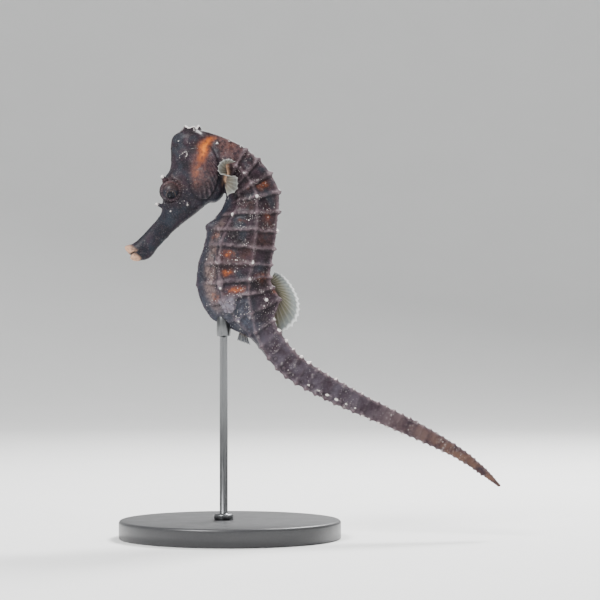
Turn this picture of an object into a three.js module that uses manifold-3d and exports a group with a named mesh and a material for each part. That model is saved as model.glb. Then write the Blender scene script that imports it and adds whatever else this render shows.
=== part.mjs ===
// A seahorse swimming upright with its tail held out straight, life-size, on a plain display stand.
// Millimetres, +Z up. The head looks along -X, the left side faces -Y, and the origin is the middle
// of the stand's underside.

import * as THREE from "three";
import { mergeVertices } from "three/addons/utils/BufferGeometryUtils.js";
import Module from "manifold-3d";

const wasm = await Module();
wasm.setup();

// ---------------------------------------------------------------- driving dimensions

const CUT = 0.3; // the gap that parts two lengths of the body
const TRUNK_RINGS = 11;
const TAIL_RINGS = 36;
const TAIL_TIP = TRUNK_RINGS + TAIL_RINGS + 1; // the body is measured in rings, from 0 at the nape

const PLATE_DEPTH = 0.3; // how far the plates lie below the bony rings
const RIDGE_DEPTH = 0.12; // and the long ridges between two rings
const KNOB = 0.35; // how far a knob stands out where a ring crosses a ridge
const FULL_TAIL = 3.6; // half the tail's depth at its base, the size that ring detail is scaled by

const FIN_THICK = 0.5;
const FIN_GAP = 0.35; // from the body's surface to a fin's root

const EYE_RADIUS = 2.35;
const EYE_SIDE = 2.75; // from the middle plane to the middle of an eye
const SOCKET_GAP = 0.3;

const BASE_RADIUS = 30;
const BASE_HEIGHT = 5;
const BASE_EDGE = 0.8; // the chamfer round the base's top
const ROD_RADIUS = 1.1;
const ROD_X = -1.7; // the rod stands under the belly
const CUP_RADIUS = 1.9;
const CUP_BOTTOM = 54.5;
const CUP_TOP = 60; // before the belly is cut from it
const COLLAR_RADIUS = 2.6;
const COLLAR_HEIGHT = 1.6;

// ---------------------------------------------------------------- colours

const paint = (color, roughness, metalness = 0) =>
  new THREE.MeshStandardMaterial({ color, roughness, metalness });
const FLESH = paint(0x3a2c2e, 0.55);
const HEAD_FLESH = paint(0x443230, 0.55);
const TAIL_FLESH = paint(0x4a3d40, 0.55);
const CROWN = paint(0x5a5052, 0.5);
const SNOUT = paint(0x2d2a30, 0.5);
const FIN = paint(0x8d8f82, 0.4);
const EYE = paint(0x14100f, 0.1);
const PLATE = paint(0x26272a, 0.4);
const STEEL = paint(0xb5b7ba, 0.3, 1);

// ---------------------------------------------------------------- shared tools

// A smooth curve through knots [position, value, ...], with slopes taken from the neighbours.
function through(knots) {
  const last = knots.length - 1;
  const slope = (i, column) => {
    const before = knots[Math.max(i - 1, 0)];
    const after = knots[Math.min(i + 1, last)];
    return (after[column] - before[column]) / (after[0] - before[0]);
  };
  return (position) => {
    let i = 0;
    while (i < last - 1 && knots[i + 1][0] < position) i++;
    const [from, to] = [knots[i], knots[i + 1]];
    const span = to[0] - from[0];
    const t = (position - from[0]) / span;
    const near = 2 * t ** 3 - 3 * t ** 2 + 1;
    return from.slice(1).map((_, k) => {
      const column = k + 1;
      const rise = (t ** 3 - 2 * t ** 2 + t) * span * slope(i, column);
      const fall = (t ** 3 - t ** 2) * span * slope(i + 1, column);
      return near * from[column] + rise + (1 - near) * to[column] + fall;
    });
  };
}

function geometryOf(points, faces) {
  const positions = points.flatMap((p) => [p.x, p.y, p.z]);
  return new THREE.BufferGeometry()
    .setAttribute("position", new THREE.Float32BufferAttribute(positions, 3))
    .setIndex(faces.flat());
}

// A closed skin over loops of points, each with a fan at its middle to close the ends.
function loft(loops) {
  const count = loops[0].length;
  const points = loops.flat();
  const faces = [];
  for (let i = 0; i + 1 < loops.length; i++) {
    for (let j = 0; j < count; j++) {
      const a = i * count + j;
      const b = i * count + ((j + 1) % count);
      faces.push([a, b, b + count], [a, b + count, a + count]);
    }
  }
  const middle = (loop) =>
    loop.reduce((sum, p) => sum.add(p), new THREE.Vector3()).divideScalar(count);
  const first = points.push(middle(loops[0])) - 1;
  const end = points.push(middle(loops.at(-1))) - 1;
  const offset = (loops.length - 1) * count;
  for (let j = 0; j < count; j++) {
    const k = (j + 1) % count;
    faces.push([first, k, j], [end, offset + j, offset + k]);
  }
  return solidOf(geometryOf(points, faces));
}

// A manifold-3d solid of a closed geometry, turned the right way out.
function solidOf(geometry) {
  const bare = geometry.clone();
  bare.deleteAttribute("normal");
  bare.deleteAttribute("uv");
  const merged = mergeVertices(bare, 1e-4);
  const build = (triVerts) =>
    new wasm.Manifold(
      new wasm.Mesh({
        numProp: 3,
        vertProperties: merged.attributes.position.array,
        triVerts: new Uint32Array(triVerts),
      }),
    );
  const made = build(merged.index.array);
  return made.volume() > 0 ? made : build(merged.index.array.toReversed());
}

const place = (geometry, move) => solidOf(geometry.applyMatrix4(move));
const union = (...solids) => solids.reduce((all, s) => all.add(s));

function meshOf(name, solid, material) {
  const { vertProperties, triVerts, numProp } = solid.getMesh();
  const count = vertProperties.length / numProp;
  const xyz = new Float32Array(count * 3);
  for (let i = 0; i < count; i++) {
    xyz.set(vertProperties.subarray(i * numProp, i * numProp + 3), i * 3);
  }
  const geometry = new THREE.BufferGeometry()
    .setAttribute("position", new THREE.BufferAttribute(xyz, 3))
    .setIndex(new THREE.BufferAttribute(triVerts, 1));
  geometry.computeVertexNormals();
  const mesh = new THREE.Mesh(geometry, material);
  mesh.name = name;
  return mesh;
}

// ---------------------------------------------------------------- the ringed body

// Ring number, middle of the ring (x, z), and the angle from +X at which its back points.
const spine = through([
  [-3, -9.8, 103.2, 92],
  [-2, -6.8, 102.9, 88],
  [0, -0.8, 101.3, 72],
  [2, 3.6, 97.4, 47],
  [3, 5.2, 94.9, 30],
  [4, 6.0, 91.7, 13],
  [6, 3.6, 83.2, -3],
  [8, 1.5, 74, -2],
  [9, 1.2, 69.3, 6],
  [10, 2.5, 65, 15],
  [12, 8.6, 56.7, 33],
  [15, 14.9, 48.3, 49],
  [18, 22.2, 43, 57],
  [23, 34.4, 36.6, 64],
  [30, 49.5, 29.5, 63],
  [37, 61.3, 23.2, 57],
  [42, 67.5, 18.7, 51],
  [TAIL_TIP, 72.9, 14, 47],
]);

// The four kinds of long ridge: ring number, height towards the back, distance from the middle plane.
const superiorRidge = through([
  [-3, 6.6, 1],
  [-2, 6.8, 1.3],
  [-1, 6.3, 1.7],
  [0, 5.9, 2],
  [3, 6.7, 2.5],
  [5, 8.2, 2.9],
  [7, 9.5, 3.1],
  [10, 9.6, 3.2],
  [11, 8.7, 3.2],
  [11.5, 6.3, 3.2],
  [12, 3.9, 3.2],
  [13, 3.5, 3.1],
  [18, 3.15, 2.8],
  [23, 2.6, 2.35],
  [30, 2.1, 1.85],
  [37, 1.45, 1.25],
  [43, 1, 0.85],
  [TAIL_TIP, 0.35, 0.3],
]);
const lateralRidge = through([
  [-3, 0, 3],
  [-2, 0, 4],
  [0, 0.4, 4.8],
  [2, 0.9, 5.1],
  [4, 1.4, 5.5],
  [6, 3.7, 6.1],
  [8, 4.7, 6.3],
  [9, 4.2, 6.1],
  [10, 2.8, 5.5],
  [12, -1.9, 4],
  [13, -2.8, 3.5],
  [15, -3.3, 3],
  [18, -3.15, 2.7],
  [23, -2.6, 2.3],
  [30, -2.1, 1.8],
  [37, -1.45, 1.2],
  [43, -1, 0.8],
  [TAIL_TIP, -0.35, 0.3],
]);
const inferiorRidge = through([
  [-3, -3, 1.8],
  [-2, -3.2, 2.4],
  [0, -3.4, 3],
  [3, -3.4, 3.6],
  [5, -4, 4.5],
  [7, -4.8, 5.1],
  [9, -3.8, 5.4],
  [10, -4, 5],
  [11, -4.2, 3.9],
  [12, -3.7, 2.3],
  [13, -3.6, 1.6],
  [18, -3.2, 1.2],
  [30, -2.15, 0.8],
  [TAIL_TIP, -0.36, 0.1],
]);
const keel = through([
  [-3, -4],
  [-2, -4.6],
  [0, -5.9],
  [2, -7],
  [3, -7.7],
  [4, -8.1],
  [5, -8.7],
  [6, -9.8],
  [7, -9.6],
  [8, -10.2],
  [9, -10.4],
  [10, -10.2],
  [10.6, -9.8],
  [11, -8.1],
  [11.5, -6.1],
  [12, -4.5],
  [13, -3.8],
  [18, -3.25],
  [30, -2.2],
  [TAIL_TIP, -0.37],
]);
const KEEL_KNOB = 0.1; // the keel is smoother than the ridges
const KEEL_POINTS = { 6: 0.9, 9: 0.5 }; // but stands out in a point at these rings

// A point of the body: ring number, height towards the back, distance from the middle plane.
function bodyPoint(ring, height, side) {
  const [x, z, lean] = spine(ring);
  const angle = THREE.MathUtils.degToRad(lean);
  return new THREE.Vector3(x + height * Math.cos(angle), side, z + height * Math.sin(angle));
}

// The ridges' corners round the body at a ring number, as [height, side]: seven round the trunk,
// and four round the tail, where the lower ones have run together.
function corners(ring, isTrunk) {
  const right = [superiorRidge(ring), lateralRidge(ring)];
  if (isTrunk) right.push(inferiorRidge(ring), [keel(ring)[0], 0]);
  const left = right.filter(([, side]) => side > 0).map(([height, side]) => [height, -side]);
  return [...right, ...left.reverse()];
}

const detailScale = (ring) =>
  ring < TRUNK_RINGS ? 1 : Math.min(1, superiorRidge(ring)[0] / FULL_TAIL);

// The outline at a ring number: a point at each ridge and one between. A ring stands out in knobs
// at the ridges, and the plates between two rings are sunk.
function outline(ring, isTrunk) {
  const scale = detailScale(ring);
  const ridges = corners(ring, isTrunk);
  const isRing = Number.isInteger(ring) && ring > 0;
  const points = [];
  ridges.forEach(([height, side], i) => {
    const [nextHeight, nextSide] = ridges[(i + 1) % ridges.length];
    const isUnder = isTrunk && i >= 2 && i <= 4;
    const knob = side ? KNOB : (KEEL_POINTS[ring] ?? KEEL_KNOB);
    const ridge = isRing ? knob * (isUnder && ring > TRUNK_RINGS ? 0 : 1) : -RIDGE_DEPTH;
    const between = isRing ? 0 : -PLATE_DEPTH;
    const middle = [(height + nextHeight) / 2, (side + nextSide) / 2];
    for (const [h, y, out] of [[height, side, ridge], [...middle, between]]) {
      const grow = 1 + (out * scale) / Math.max(Math.hypot(h, y), 0.3);
      points.push(bodyPoint(ring, h * grow, y * grow));
    }
  });
  return points;
}

const PLATE_EDGE = 0.27; // the share of a ring's spacing from the ring to the flat of its plate

// A length of the ringed body between two ring numbers.
function bodyLength(from, to, isTrunk) {
  const stations = [from, to];
  for (let ring = Math.ceil(from); ring <= to; ring++) {
    stations.push(ring - PLATE_EDGE, ring, ring + PLATE_EDGE);
  }
  const inside = stations.filter((s) => s >= from && s <= to).sort((a, b) => a - b);
  const apart = inside.filter((s, i) => i === 0 || s - inside[i - 1] > 0.05);
  return loft(apart.map((s) => outline(s, isTrunk)));
}

// How many rings a cut of CUT millimetres takes up at a ring number.
function cutAt(ring) {
  const step = 0.1;
  return (CUT * step) / bodyPoint(ring, 0, 0).distanceTo(bodyPoint(ring + step, 0, 0));
}

// Name, first and last ring number, and whether it has the trunk's seven ridges. The neck runs on
// into the head, which is cut from it by a slab.
const NECK = [-3, 2.5];
const BODY_LENGTHS = [
  ["trunk_upper", 2.5, 6.5, true, FLESH],
  ["trunk_lower", 6.5, 11.5, true, FLESH],
  ["tail_1", 11.5, 17.5, true, TAIL_FLESH],
  ["tail_2", 17.5, 26.5, false, TAIL_FLESH],
  ["tail_3", 26.5, 36.5, false, TAIL_FLESH],
  ["tail_4", 36.5, TAIL_TIP, false, TAIL_FLESH],
];

// ---------------------------------------------------------------- the head

// The head's own frame starts at the eyes' axis and looks down the snout.
const HEAD_X = -15.8;
const HEAD_Z = 93.6;
const HEAD_PITCH = THREE.MathUtils.degToRad(51);
const HEAD_SIDES = 20;
const SNOUT_CUT = 6.6; // along the head, where the snout is parted from it

// A point of the head: distance forward along the snout, height towards the forehead, and side.
function headPoint(forward, height, side) {
  const [c, s] = [Math.cos(HEAD_PITCH), Math.sin(HEAD_PITCH)];
  return new THREE.Vector3(
    HEAD_X - forward * c - height * s,
    side,
    HEAD_Z - forward * s + height * c,
  );
}

// Distance forward, then the top, the bottom, the height where it is widest, and half the width.
const HEAD_KNOTS = [
  [-18.3, 3.4, -1.5, 1.2, 1.6],
  [-17, 5.2, -3.5, 0.8, 2.6],
  [-15.5, 7, -5.5, 0.3, 3.5],
  [-13.5, 8.6, -7.5, -0.8, 4.2],
  [-11.5, 8.9, -9, -2, 4.6],
  [-9.7, 8.1, -10.4, -3, 4.8],
  [-7.9, 6.6, -11.5, -3.7, 4.8],
  [-5.4, 4.6, -11.3, -4, 4.6],
  [-3.9, 4, -9.9, -3.9, 4.4],
  [-1.5, 3.7, -9.3, -3.7, 4],
  [0.7, 2.6, -8.85, -3.5, 3.5],
  [4, -0.2, -8, -3.7, 2.75],
  [SNOUT_CUT, -1.6, -7.4, -4.2, 2.2],
  [11, -1.6, -6.95, -4.2, 1.8],
  [14.5, -1.35, -6.75, -4, 1.75],
  [17.4, -0.8, -6.8, -3.7, 1.9],
  [19.1, 0.25, -5.9, -3, 1.9],
  [19.8, 0.3, -5.2, -2.6, 1.6],
  [20.3, -1.7, -4.8, -2.9, 1.3],
  [21, -2.4, -3.6, -2.9, 0.6],
];
const headShape = through(HEAD_KNOTS);

function headLoop(forward) {
  const [top, bottom, level, half] = headShape(forward);
  const loop = [];
  for (let i = 0; i < HEAD_SIDES; i++) {
    const angle = (i / HEAD_SIDES) * 2 * Math.PI;
    const reach = Math.cos(angle) > 0 ? top - level : level - bottom;
    loop.push(headPoint(forward, level + reach * Math.cos(angle), half * Math.sin(angle)));
  }
  return loop;
}

function headLength(from, to) {
  const between = HEAD_KNOTS.map(([forward]) => forward).filter((f) => f > from && f < to);
  return loft([from, ...between, to].map(headLoop));
}

// An ellipsoid in the head's frame, centred at forward, height, side.
function blob([forward, height, side], [long, tall, wide], rows = 8) {
  const at = headPoint(forward, height, side);
  const move = new THREE.Matrix4()
    .makeRotationY(Math.PI - HEAD_PITCH)
    .scale(new THREE.Vector3(long, wide, tall))
    .setPosition(at);
  return place(new THREE.SphereGeometry(1, 2 * rows, rows), move);
}

// A spine in the head's frame, from its root to its tip.
function spike(root, tip, radius) {
  const [from, to] = [headPoint(...root), headPoint(...tip)];
  const along = to.clone().sub(from);
  const turn = new THREE.Quaternion().setFromUnitVectors(
    new THREE.Vector3(0, 1, 0),
    along.clone().normalize(),
  );
  const middle = from.clone().add(to).multiplyScalar(0.5);
  const move = new THREE.Matrix4().compose(middle, turn, new THREE.Vector3(1, 1, 1));
  return place(new THREE.CylinderGeometry(radius * 0.35, radius, along.length(), 7), move);
}

// The crown on top of the head: five points round a shallow cup.
const CROWN_X = -10.45;
const CROWN_POINTS = 5;
const CROWN_SIDE = 0.85; // its width for its length
const crownShape = [
  // Height above the stand, radius, and how far the five points rise.
  [104.5, 4.6, 0],
  [107.2, 4.7, 0.05],
  [108.9, 4.1, 0.15],
  [109.8, 3, 0.25],
  [110.4, 2.3, 0.35],
  [110.95, 1.55, 0.6],
  [110.4, 0.95, 0.2],
  [110.1, 0.4, 0],
];

function crownSolid() {
  const sides = 4 * CROWN_POINTS;
  const loops = crownShape.map(([z, radius, rise]) => {
    const loop = [];
    for (let i = 0; i < sides; i++) {
      const angle = (i / sides) * 2 * Math.PI;
      const point = rise * Math.cos(CROWN_POINTS * angle); // one of them faces backwards
      const reach = radius + 0.6 * point;
      const lift = point * (1 - 0.8 * Math.sin(angle) ** 2); // the side points are the lowest
      loop.push(
        new THREE.Vector3(
          CROWN_X + reach * Math.cos(angle),
          CROWN_SIDE * reach * Math.sin(angle),
          z + lift,
        ),
      );
    }
    return loop;
  });
  return loft(loops);
}

// Half of space, as a big box beside a plane through [x, z] that leans from +X by so many degrees.
function halfSpace([x, z], lean, side) {
  const size = 60;
  const move = new THREE.Matrix4()
    .makeTranslation(x, 0, z)
    .multiply(new THREE.Matrix4().makeRotationY(-THREE.MathUtils.degToRad(lean)))
    .multiply(new THREE.Matrix4().makeTranslation(0, 0, (side * (size + CUT)) / 2));
  return place(new THREE.BoxGeometry(size, size, size), move);
}

const CROWN_CUT = [[-10.4, 108.6], 7];
const NECK_CUT = [[-2.3, 97], 94];

// A pair, one on each side, from a function of the side: -1 is the animal's left.
const pair = (make) => union(make(-1), make(1));

function headSolids() {
  const skull = headLength(HEAD_KNOTS[0][0], SNOUT_CUT - CUT);
  const neck = bodyLength(NECK[0], NECK[1] - cutAt(NECK[1]) / 2, true);
  const cheeks = pair((side) => blob([-7.8, -4.3, 2.3 * side], [5.8, 4.4, 3.2]));
  const orbits = pair((side) => blob([0, 0, 2 * side], [3.2, 3.2, 2.4]));
  const brows = pair((side) => spike([-1.2, 2.4, 2.3 * side], [-1.7, 4.7, 3 * side], 0.7));
  const cheekSpines = pair((side) => spike([-0.3, -5.2, 3 * side], [0, -5.9, 4.3 * side], 0.6));
  const noseSpine = spike([4.6, -1.5, 0], [5.2, 1.1, 0], 0.7);
  const sockets = pair((side) => eyeBall(side, EYE_RADIUS + SOCKET_GAP));
  const whole = union(skull, neck, cheeks, orbits, brows, cheekSpines, noseSpine, crownSolid());
  const front = whole.intersect(halfSpace(...NECK_CUT, 1));
  return {
    head: front.intersect(halfSpace(...CROWN_CUT, -1)).subtract(sockets),
    coronet: front.intersect(halfSpace(...CROWN_CUT, 1)),
    neck: whole.intersect(halfSpace(...NECK_CUT, -1)),
  };
}

function eyeBall(side, radius) {
  return blob([0, 0, side * EYE_SIDE], [radius, radius, radius], 9);
}

const snoutSolid = () => headLength(SNOUT_CUT, HEAD_KNOTS.at(-1)[0]);

// ---------------------------------------------------------------- the fins

// A fan of rays as a plate: rootAt and tipAt give the ends of ray number i, and acrossAt the
// direction of its thickness.
function fan(rays, rootAt, tipAt, acrossAt) {
  const steps = 3;
  const loops = [];
  for (let i = 0; i < rays; i++) {
    const [root, tip, across] = [rootAt(i), tipAt(i), acrossAt(i).setLength(FIN_THICK / 2)];
    const front = [];
    const back = [];
    for (let k = 0; k <= steps; k++) {
      const at = root.clone().lerp(tip, k / steps);
      front.push(at.clone().add(across));
      back.unshift(at.clone().sub(across));
    }
    loops.push([...front, ...back]);
  }
  return loft(loops);
}

const DORSAL_RAYS = 17;
const dorsalRay = through([
  // Share along the fin, the ring number of its root, its length, and its angle above +X.
  [0, 9, 1.9, 62],
  [0.12, 9.3, 3.1, 38],
  [0.25, 9.6, 4.2, 14],
  [0.4, 10, 5.4, -8],
  [0.6, 10.5, 6.4, -30],
  [0.8, 11, 6.9, -54],
  [0.92, 11.35, 6.7, -70],
  [1, 11.55, 6, -79],
]);

function dorsalSolid() {
  const share = (i) => i / (DORSAL_RAYS - 1);
  const rootAt = (i) => {
    const [ring] = dorsalRay(share(i));
    return bodyPoint(ring, superiorRidge(ring)[0] + FIN_GAP, 0);
  };
  const tipAt = (i) => {
    const [, length, angle] = dorsalRay(share(i));
    return rootAt(i).add(inProfile(length, angle));
  };
  return fan(DORSAL_RAYS, rootAt, tipAt, () => new THREE.Vector3(0, 1, 0));
}

// A vector in the middle plane, so many degrees above +X.
function inProfile(length, degrees) {
  const angle = THREE.MathUtils.degToRad(degrees);
  return new THREE.Vector3(Math.cos(angle), 0, Math.sin(angle)).multiplyScalar(length);
}

const PECTORAL_RAYS = 13;
const PECTORAL_LENGTH = 3.7;
const pectoralRay = through([
  // Share down the fin, the root's X, distance from the middle plane and Z, then how far the tip
  // lies from it along X and Z.
  [0, -1.2, 5.1, 100.6, 2.9, 1.1],
  [0.15, -1, 5.2, 100.1, 0.9, 2.1],
  [0.3, -0.8, 5.2, 99.5, -1.7, 1.7],
  [0.45, -0.7, 5.1, 98.8, -2.4, 0.3],
  [0.6, -0.7, 4.9, 97.9, -0.2, -0.3],
  [0.8, -0.9, 4.6, 96.8, 2.8, -0.9],
  [0.92, -1.1, 4.3, 96, 2.2, -2.2],
  [1, -1.3, 4.1, 95.4, 0.7, -2.7],
]);

function pectoralSolid(side) {
  const ray = (i) => pectoralRay(i / (PECTORAL_RAYS - 1));
  const rootAt = (i) => {
    const [x, out, z] = ray(i);
    return new THREE.Vector3(x, side * out, z);
  };
  const reach = (i) => {
    const [, , , along, up] = ray(i);
    return new THREE.Vector3(along, side * Math.sqrt(PECTORAL_LENGTH ** 2 - along ** 2 - up ** 2), up);
  };
  const tipAt = (i) => rootAt(i).add(reach(i));
  const acrossAt = (i) => {
    const [before, after] = [Math.max(i - 1, 0), Math.min(i + 1, PECTORAL_RAYS - 1)];
    const middle = (k) => rootAt(k).lerp(tipAt(k), 0.5);
    return reach(i).cross(middle(after).sub(middle(before)));
  };
  return fan(PECTORAL_RAYS, rootAt, tipAt, acrossAt);
}

const ANAL_RAYS = 5;
const ANAL_LENGTH = 1.8;
const analRay = through([
  // Share along the fin, the ring number of its root, and its angle above +X.
  [0, 11.62, -105],
  [1, 12.1, -72],
]);

function analSolid() {
  const ray = (i) => analRay(i / (ANAL_RAYS - 1));
  const rootAt = (i) => {
    const [ring] = ray(i);
    return bodyPoint(ring, keel(ring)[0] - FIN_GAP, 0);
  };
  const tipAt = (i) => rootAt(i).add(inProfile(ANAL_LENGTH, ray(i)[1]));
  return fan(ANAL_RAYS, rootAt, tipAt, () => new THREE.Vector3(0, 1, 0));
}

// ---------------------------------------------------------------- the display stand

function baseGeometry() {
  const profile = [
    [0, 0],
    [BASE_RADIUS, 0],
    [BASE_RADIUS, BASE_HEIGHT - BASE_EDGE],
    [BASE_RADIUS - BASE_EDGE, BASE_HEIGHT],
    [0, BASE_HEIGHT],
  ];
  const points = profile.map(([x, y]) => new THREE.Vector2(x, y));
  return new THREE.LatheGeometry(points, 64).rotateX(Math.PI / 2);
}

// An upright post under the belly, between two heights.
function standing(radius, from, to) {
  const post = new THREE.CylinderGeometry(radius, radius, to - from, 24).rotateX(Math.PI / 2);
  return solidOf(post.translate(ROD_X, 0, (from + to) / 2));
}

// The rod stands in a collar and ends in a small cup that follows the belly, a cut's width below it.
function rodSolid(belly) {
  const rod = standing(ROD_RADIUS, BASE_HEIGHT, CUP_TOP);
  const cup = standing(CUP_RADIUS, CUP_BOTTOM, CUP_TOP);
  const collar = standing(COLLAR_RADIUS, BASE_HEIGHT, BASE_HEIGHT + COLLAR_HEIGHT);
  const held = union(rod, cup, collar).subtract(belly.translate([0, 0, -CUT]));
  return held.decompose().sort((a, b) => b.volume() - a.volume())[0];
}

// ---------------------------------------------------------------- the whole

const seahorse = new THREE.Group();

const bodies = {};
for (const [name, from, to, isTrunk, material] of BODY_LENGTHS) {
  const start = from + cutAt(from) / 2;
  const end = to === TAIL_TIP ? to : to - cutAt(to) / 2;
  bodies[name] = bodyLength(start, end, isTrunk);
  seahorse.add(meshOf(name, bodies[name], material));
}

const { head, coronet, neck } = headSolids();
seahorse.add(meshOf("head", head, HEAD_FLESH));
seahorse.add(meshOf("coronet", coronet, CROWN));
seahorse.add(meshOf("neck", neck, FLESH));
seahorse.add(meshOf("snout", snoutSolid(), SNOUT));
for (const [name, side] of [["left", -1], ["right", 1]]) {
  seahorse.add(meshOf("eye_" + name, eyeBall(side, EYE_RADIUS), EYE));
  seahorse.add(meshOf("pectoral_fin_" + name, pectoralSolid(side), FIN));
}
seahorse.add(meshOf("dorsal_fin", dorsalSolid(), FIN));
seahorse.add(meshOf("anal_fin", analSolid(), FIN));
seahorse.add(meshOf("stand_base", solidOf(baseGeometry()), PLATE));
seahorse.add(meshOf("stand_rod", rodSolid(bodies.trunk_lower), STEEL));

export default seahorse;
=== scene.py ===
"""Looks for the seahorse on its display stand: one skin over head, trunk and tail, and eyes, fins, stand.

Shapes are worked out in millimetres in the row frame and stored in metres. A place on the body is its ring
number, from 0 at the nape, and its fold, which counts the ridges from the back down to the keel.
"""

import math

import bpy
import numpy as np
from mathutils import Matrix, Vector
from mathutils.bvhtree import BVHTree


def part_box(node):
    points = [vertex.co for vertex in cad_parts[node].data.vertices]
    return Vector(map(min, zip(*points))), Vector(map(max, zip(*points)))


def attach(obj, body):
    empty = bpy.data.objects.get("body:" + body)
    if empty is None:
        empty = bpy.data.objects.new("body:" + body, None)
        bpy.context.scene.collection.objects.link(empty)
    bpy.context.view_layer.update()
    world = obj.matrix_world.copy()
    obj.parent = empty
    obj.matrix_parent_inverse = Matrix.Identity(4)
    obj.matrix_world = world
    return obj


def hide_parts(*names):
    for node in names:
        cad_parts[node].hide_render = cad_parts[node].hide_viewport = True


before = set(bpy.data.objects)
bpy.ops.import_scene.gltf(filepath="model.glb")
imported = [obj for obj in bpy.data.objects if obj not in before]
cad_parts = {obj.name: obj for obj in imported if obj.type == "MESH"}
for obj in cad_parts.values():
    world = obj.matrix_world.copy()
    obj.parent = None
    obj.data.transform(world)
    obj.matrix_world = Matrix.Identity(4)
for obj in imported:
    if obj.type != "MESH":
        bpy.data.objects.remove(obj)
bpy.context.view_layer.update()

MM = 0.001
SEED = 11
TINY = 1e-6

# ---- driving dimensions, as in the solids

TRUNK_RINGS = 11
TAIL_TIP = 48  # the body is measured in rings, from 0 at the nape
FIRST_RING = -3
FULL_TAIL = 3.6  # half the tail's depth at its base
EYE_RADIUS = 2.35
EYE_SIDE = 2.75
VOXEL = 0.26
SMOOTH_STEPS = 12
SMOOTHING = 0.6
BELLY_BACK = 0.4  # the belly's smoothing takes back less, which rounds its keel
RING_STEP = 0.05  # the step, in rings, that slopes along the body are measured over
CHUNK = 20000  # how many points are compared with the spine at a time


def turns(count):
    """Even steps round a circle, in radians."""
    return np.linspace(0, 2 * math.pi, count, endpoint=False)


def points_of(*parts):
    """Points, or other short rows, from arrays of their parts."""
    return np.stack(np.broadcast_arrays(*parts), axis=-1)


def through(knots):
    """A smooth curve through rows [position, value, ...], which gives one array for each value."""
    places, *values = np.array(knots, float).T
    values = np.array(values)
    slopes = np.empty_like(values)
    slopes[:, 1:-1] = (values[:, 2:] - values[:, :-2]) / (places[2:] - places[:-2])
    slopes[:, 0] = (values[:, 1] - values[:, 0]) / (places[1] - places[0])
    slopes[:, -1] = (values[:, -1] - values[:, -2]) / (places[-1] - places[-2])

    def at(position):
        i = np.clip(np.searchsorted(places, position) - 1, 0, len(places) - 2)
        span = places[i + 1] - places[i]
        t = (position - places[i]) / span
        near = 2 * t**3 - 3 * t**2 + 1
        rise = (t**3 - 2 * t**2 + t) * span * slopes[:, i]
        fall = (t**3 - t**2) * span * slopes[:, i + 1]
        return near * values[:, i] + rise + (1 - near) * values[:, i + 1] + fall

    return at


def ramp(low, high, value):
    """0 up to low and 1 from high on, with a smooth rise; it falls instead where low is the larger."""
    t = np.clip((value - low) / (high - low), 0, 1)
    return t * t * (3 - 2 * t)


def bell(distance, width):
    """1 at no distance, falling off smoothly on both sides."""
    return np.exp(-((distance / width) ** 2))


def along_line(x, y, line):
    """Each point's gap from a line of (x, y) corners, and how far along the line it lies, in corners."""
    best, place = np.full(len(x), np.inf), np.zeros(len(x))
    for i, ((x0, y0), (x1, y1)) in enumerate(zip(line, line[1:])):
        dx, dy = x1 - x0, y1 - y0
        t = np.clip(((x - x0) * dx + (y - y0) * dy) / np.maximum(dx * dx + dy * dy, TINY), 0, 1)
        gap = np.hypot(x - x0 - t * dx, y - y0 - t * dy)
        nearer = gap < best
        best = np.where(nearer, gap, best)
        place = np.where(nearer, i + t, place)
    return best, place


# ---- the ringed body's own coordinates

# Ring number, middle of the ring (x, z), and the angle from +X at which its back points.
spine = through([
    [-3, -9.8, 103.2, 92], [-2, -6.8, 102.9, 88], [0, -0.8, 101.3, 72], [2, 3.6, 97.4, 47],
    [3, 5.2, 94.9, 30], [4, 6.0, 91.7, 13], [6, 3.6, 83.2, -3], [8, 1.5, 74, -2], [9, 1.2, 69.3, 6],
    [10, 2.5, 65, 15], [12, 8.6, 56.7, 33], [15, 14.9, 48.3, 49], [18, 22.2, 43, 57],
    [23, 34.4, 36.6, 64], [30, 49.5, 29.5, 63], [37, 61.3, 23.2, 57], [42, 67.5, 18.7, 51],
    [TAIL_TIP, 72.9, 14, 47],
])

# The long ridges: ring number, height towards the back, distance from the middle plane.
superior_ridge = through([
    [-3, 6.6, 1], [-2, 6.8, 1.3], [-1, 6.3, 1.7], [0, 5.9, 2], [3, 6.7, 2.5], [5, 8.2, 2.9],
    [7, 9.5, 3.1], [10, 9.6, 3.2], [11, 8.7, 3.2], [11.5, 6.3, 3.2], [12, 3.9, 3.2], [13, 3.5, 3.1],
    [18, 3.15, 2.8], [23, 2.6, 2.35], [30, 2.1, 1.85], [37, 1.45, 1.25], [43, 1, 0.85],
    [TAIL_TIP, 0.35, 0.3],
])
lateral_ridge = through([
    [-3, 0, 3], [-2, 0, 4], [0, 0.4, 4.8], [2, 0.9, 5.1], [4, 1.4, 5.5], [6, 3.7, 6.1], [8, 4.7, 6.3],
    [9, 4.2, 6.1], [10, 2.8, 5.5], [12, -1.9, 4], [13, -2.8, 3.5], [15, -3.3, 3], [18, -3.15, 2.7],
    [23, -2.6, 2.3], [30, -2.1, 1.8], [37, -1.45, 1.2], [43, -1, 0.8], [TAIL_TIP, -0.35, 0.3],
])
inferior_ridge = through([
    [-3, -3, 1.8], [-2, -3.2, 2.4], [0, -3.4, 3], [3, -3.4, 3.6], [5, -4, 4.5], [7, -4.8, 5.1],
    [9, -3.8, 5.4], [10, -4, 5], [11, -4.2, 3.9], [12, -3.7, 2.3], [13, -3.6, 1.6], [18, -3.2, 1.2],
    [30, -2.15, 0.8], [TAIL_TIP, -0.36, 0.1],
])
keel = through([
    [-3, -4], [-2, -4.6], [0, -5.9], [2, -7], [3, -7.7], [4, -8.1], [5, -8.7], [6, -9.8], [7, -9.6],
    [8, -10.2], [9, -10.4], [10, -10.2], [10.6, -9.8], [11, -8.1], [11.5, -6.1], [12, -4.5], [13, -3.8],
    [18, -3.25], [30, -2.2], [TAIL_TIP, -0.37],
])

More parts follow.
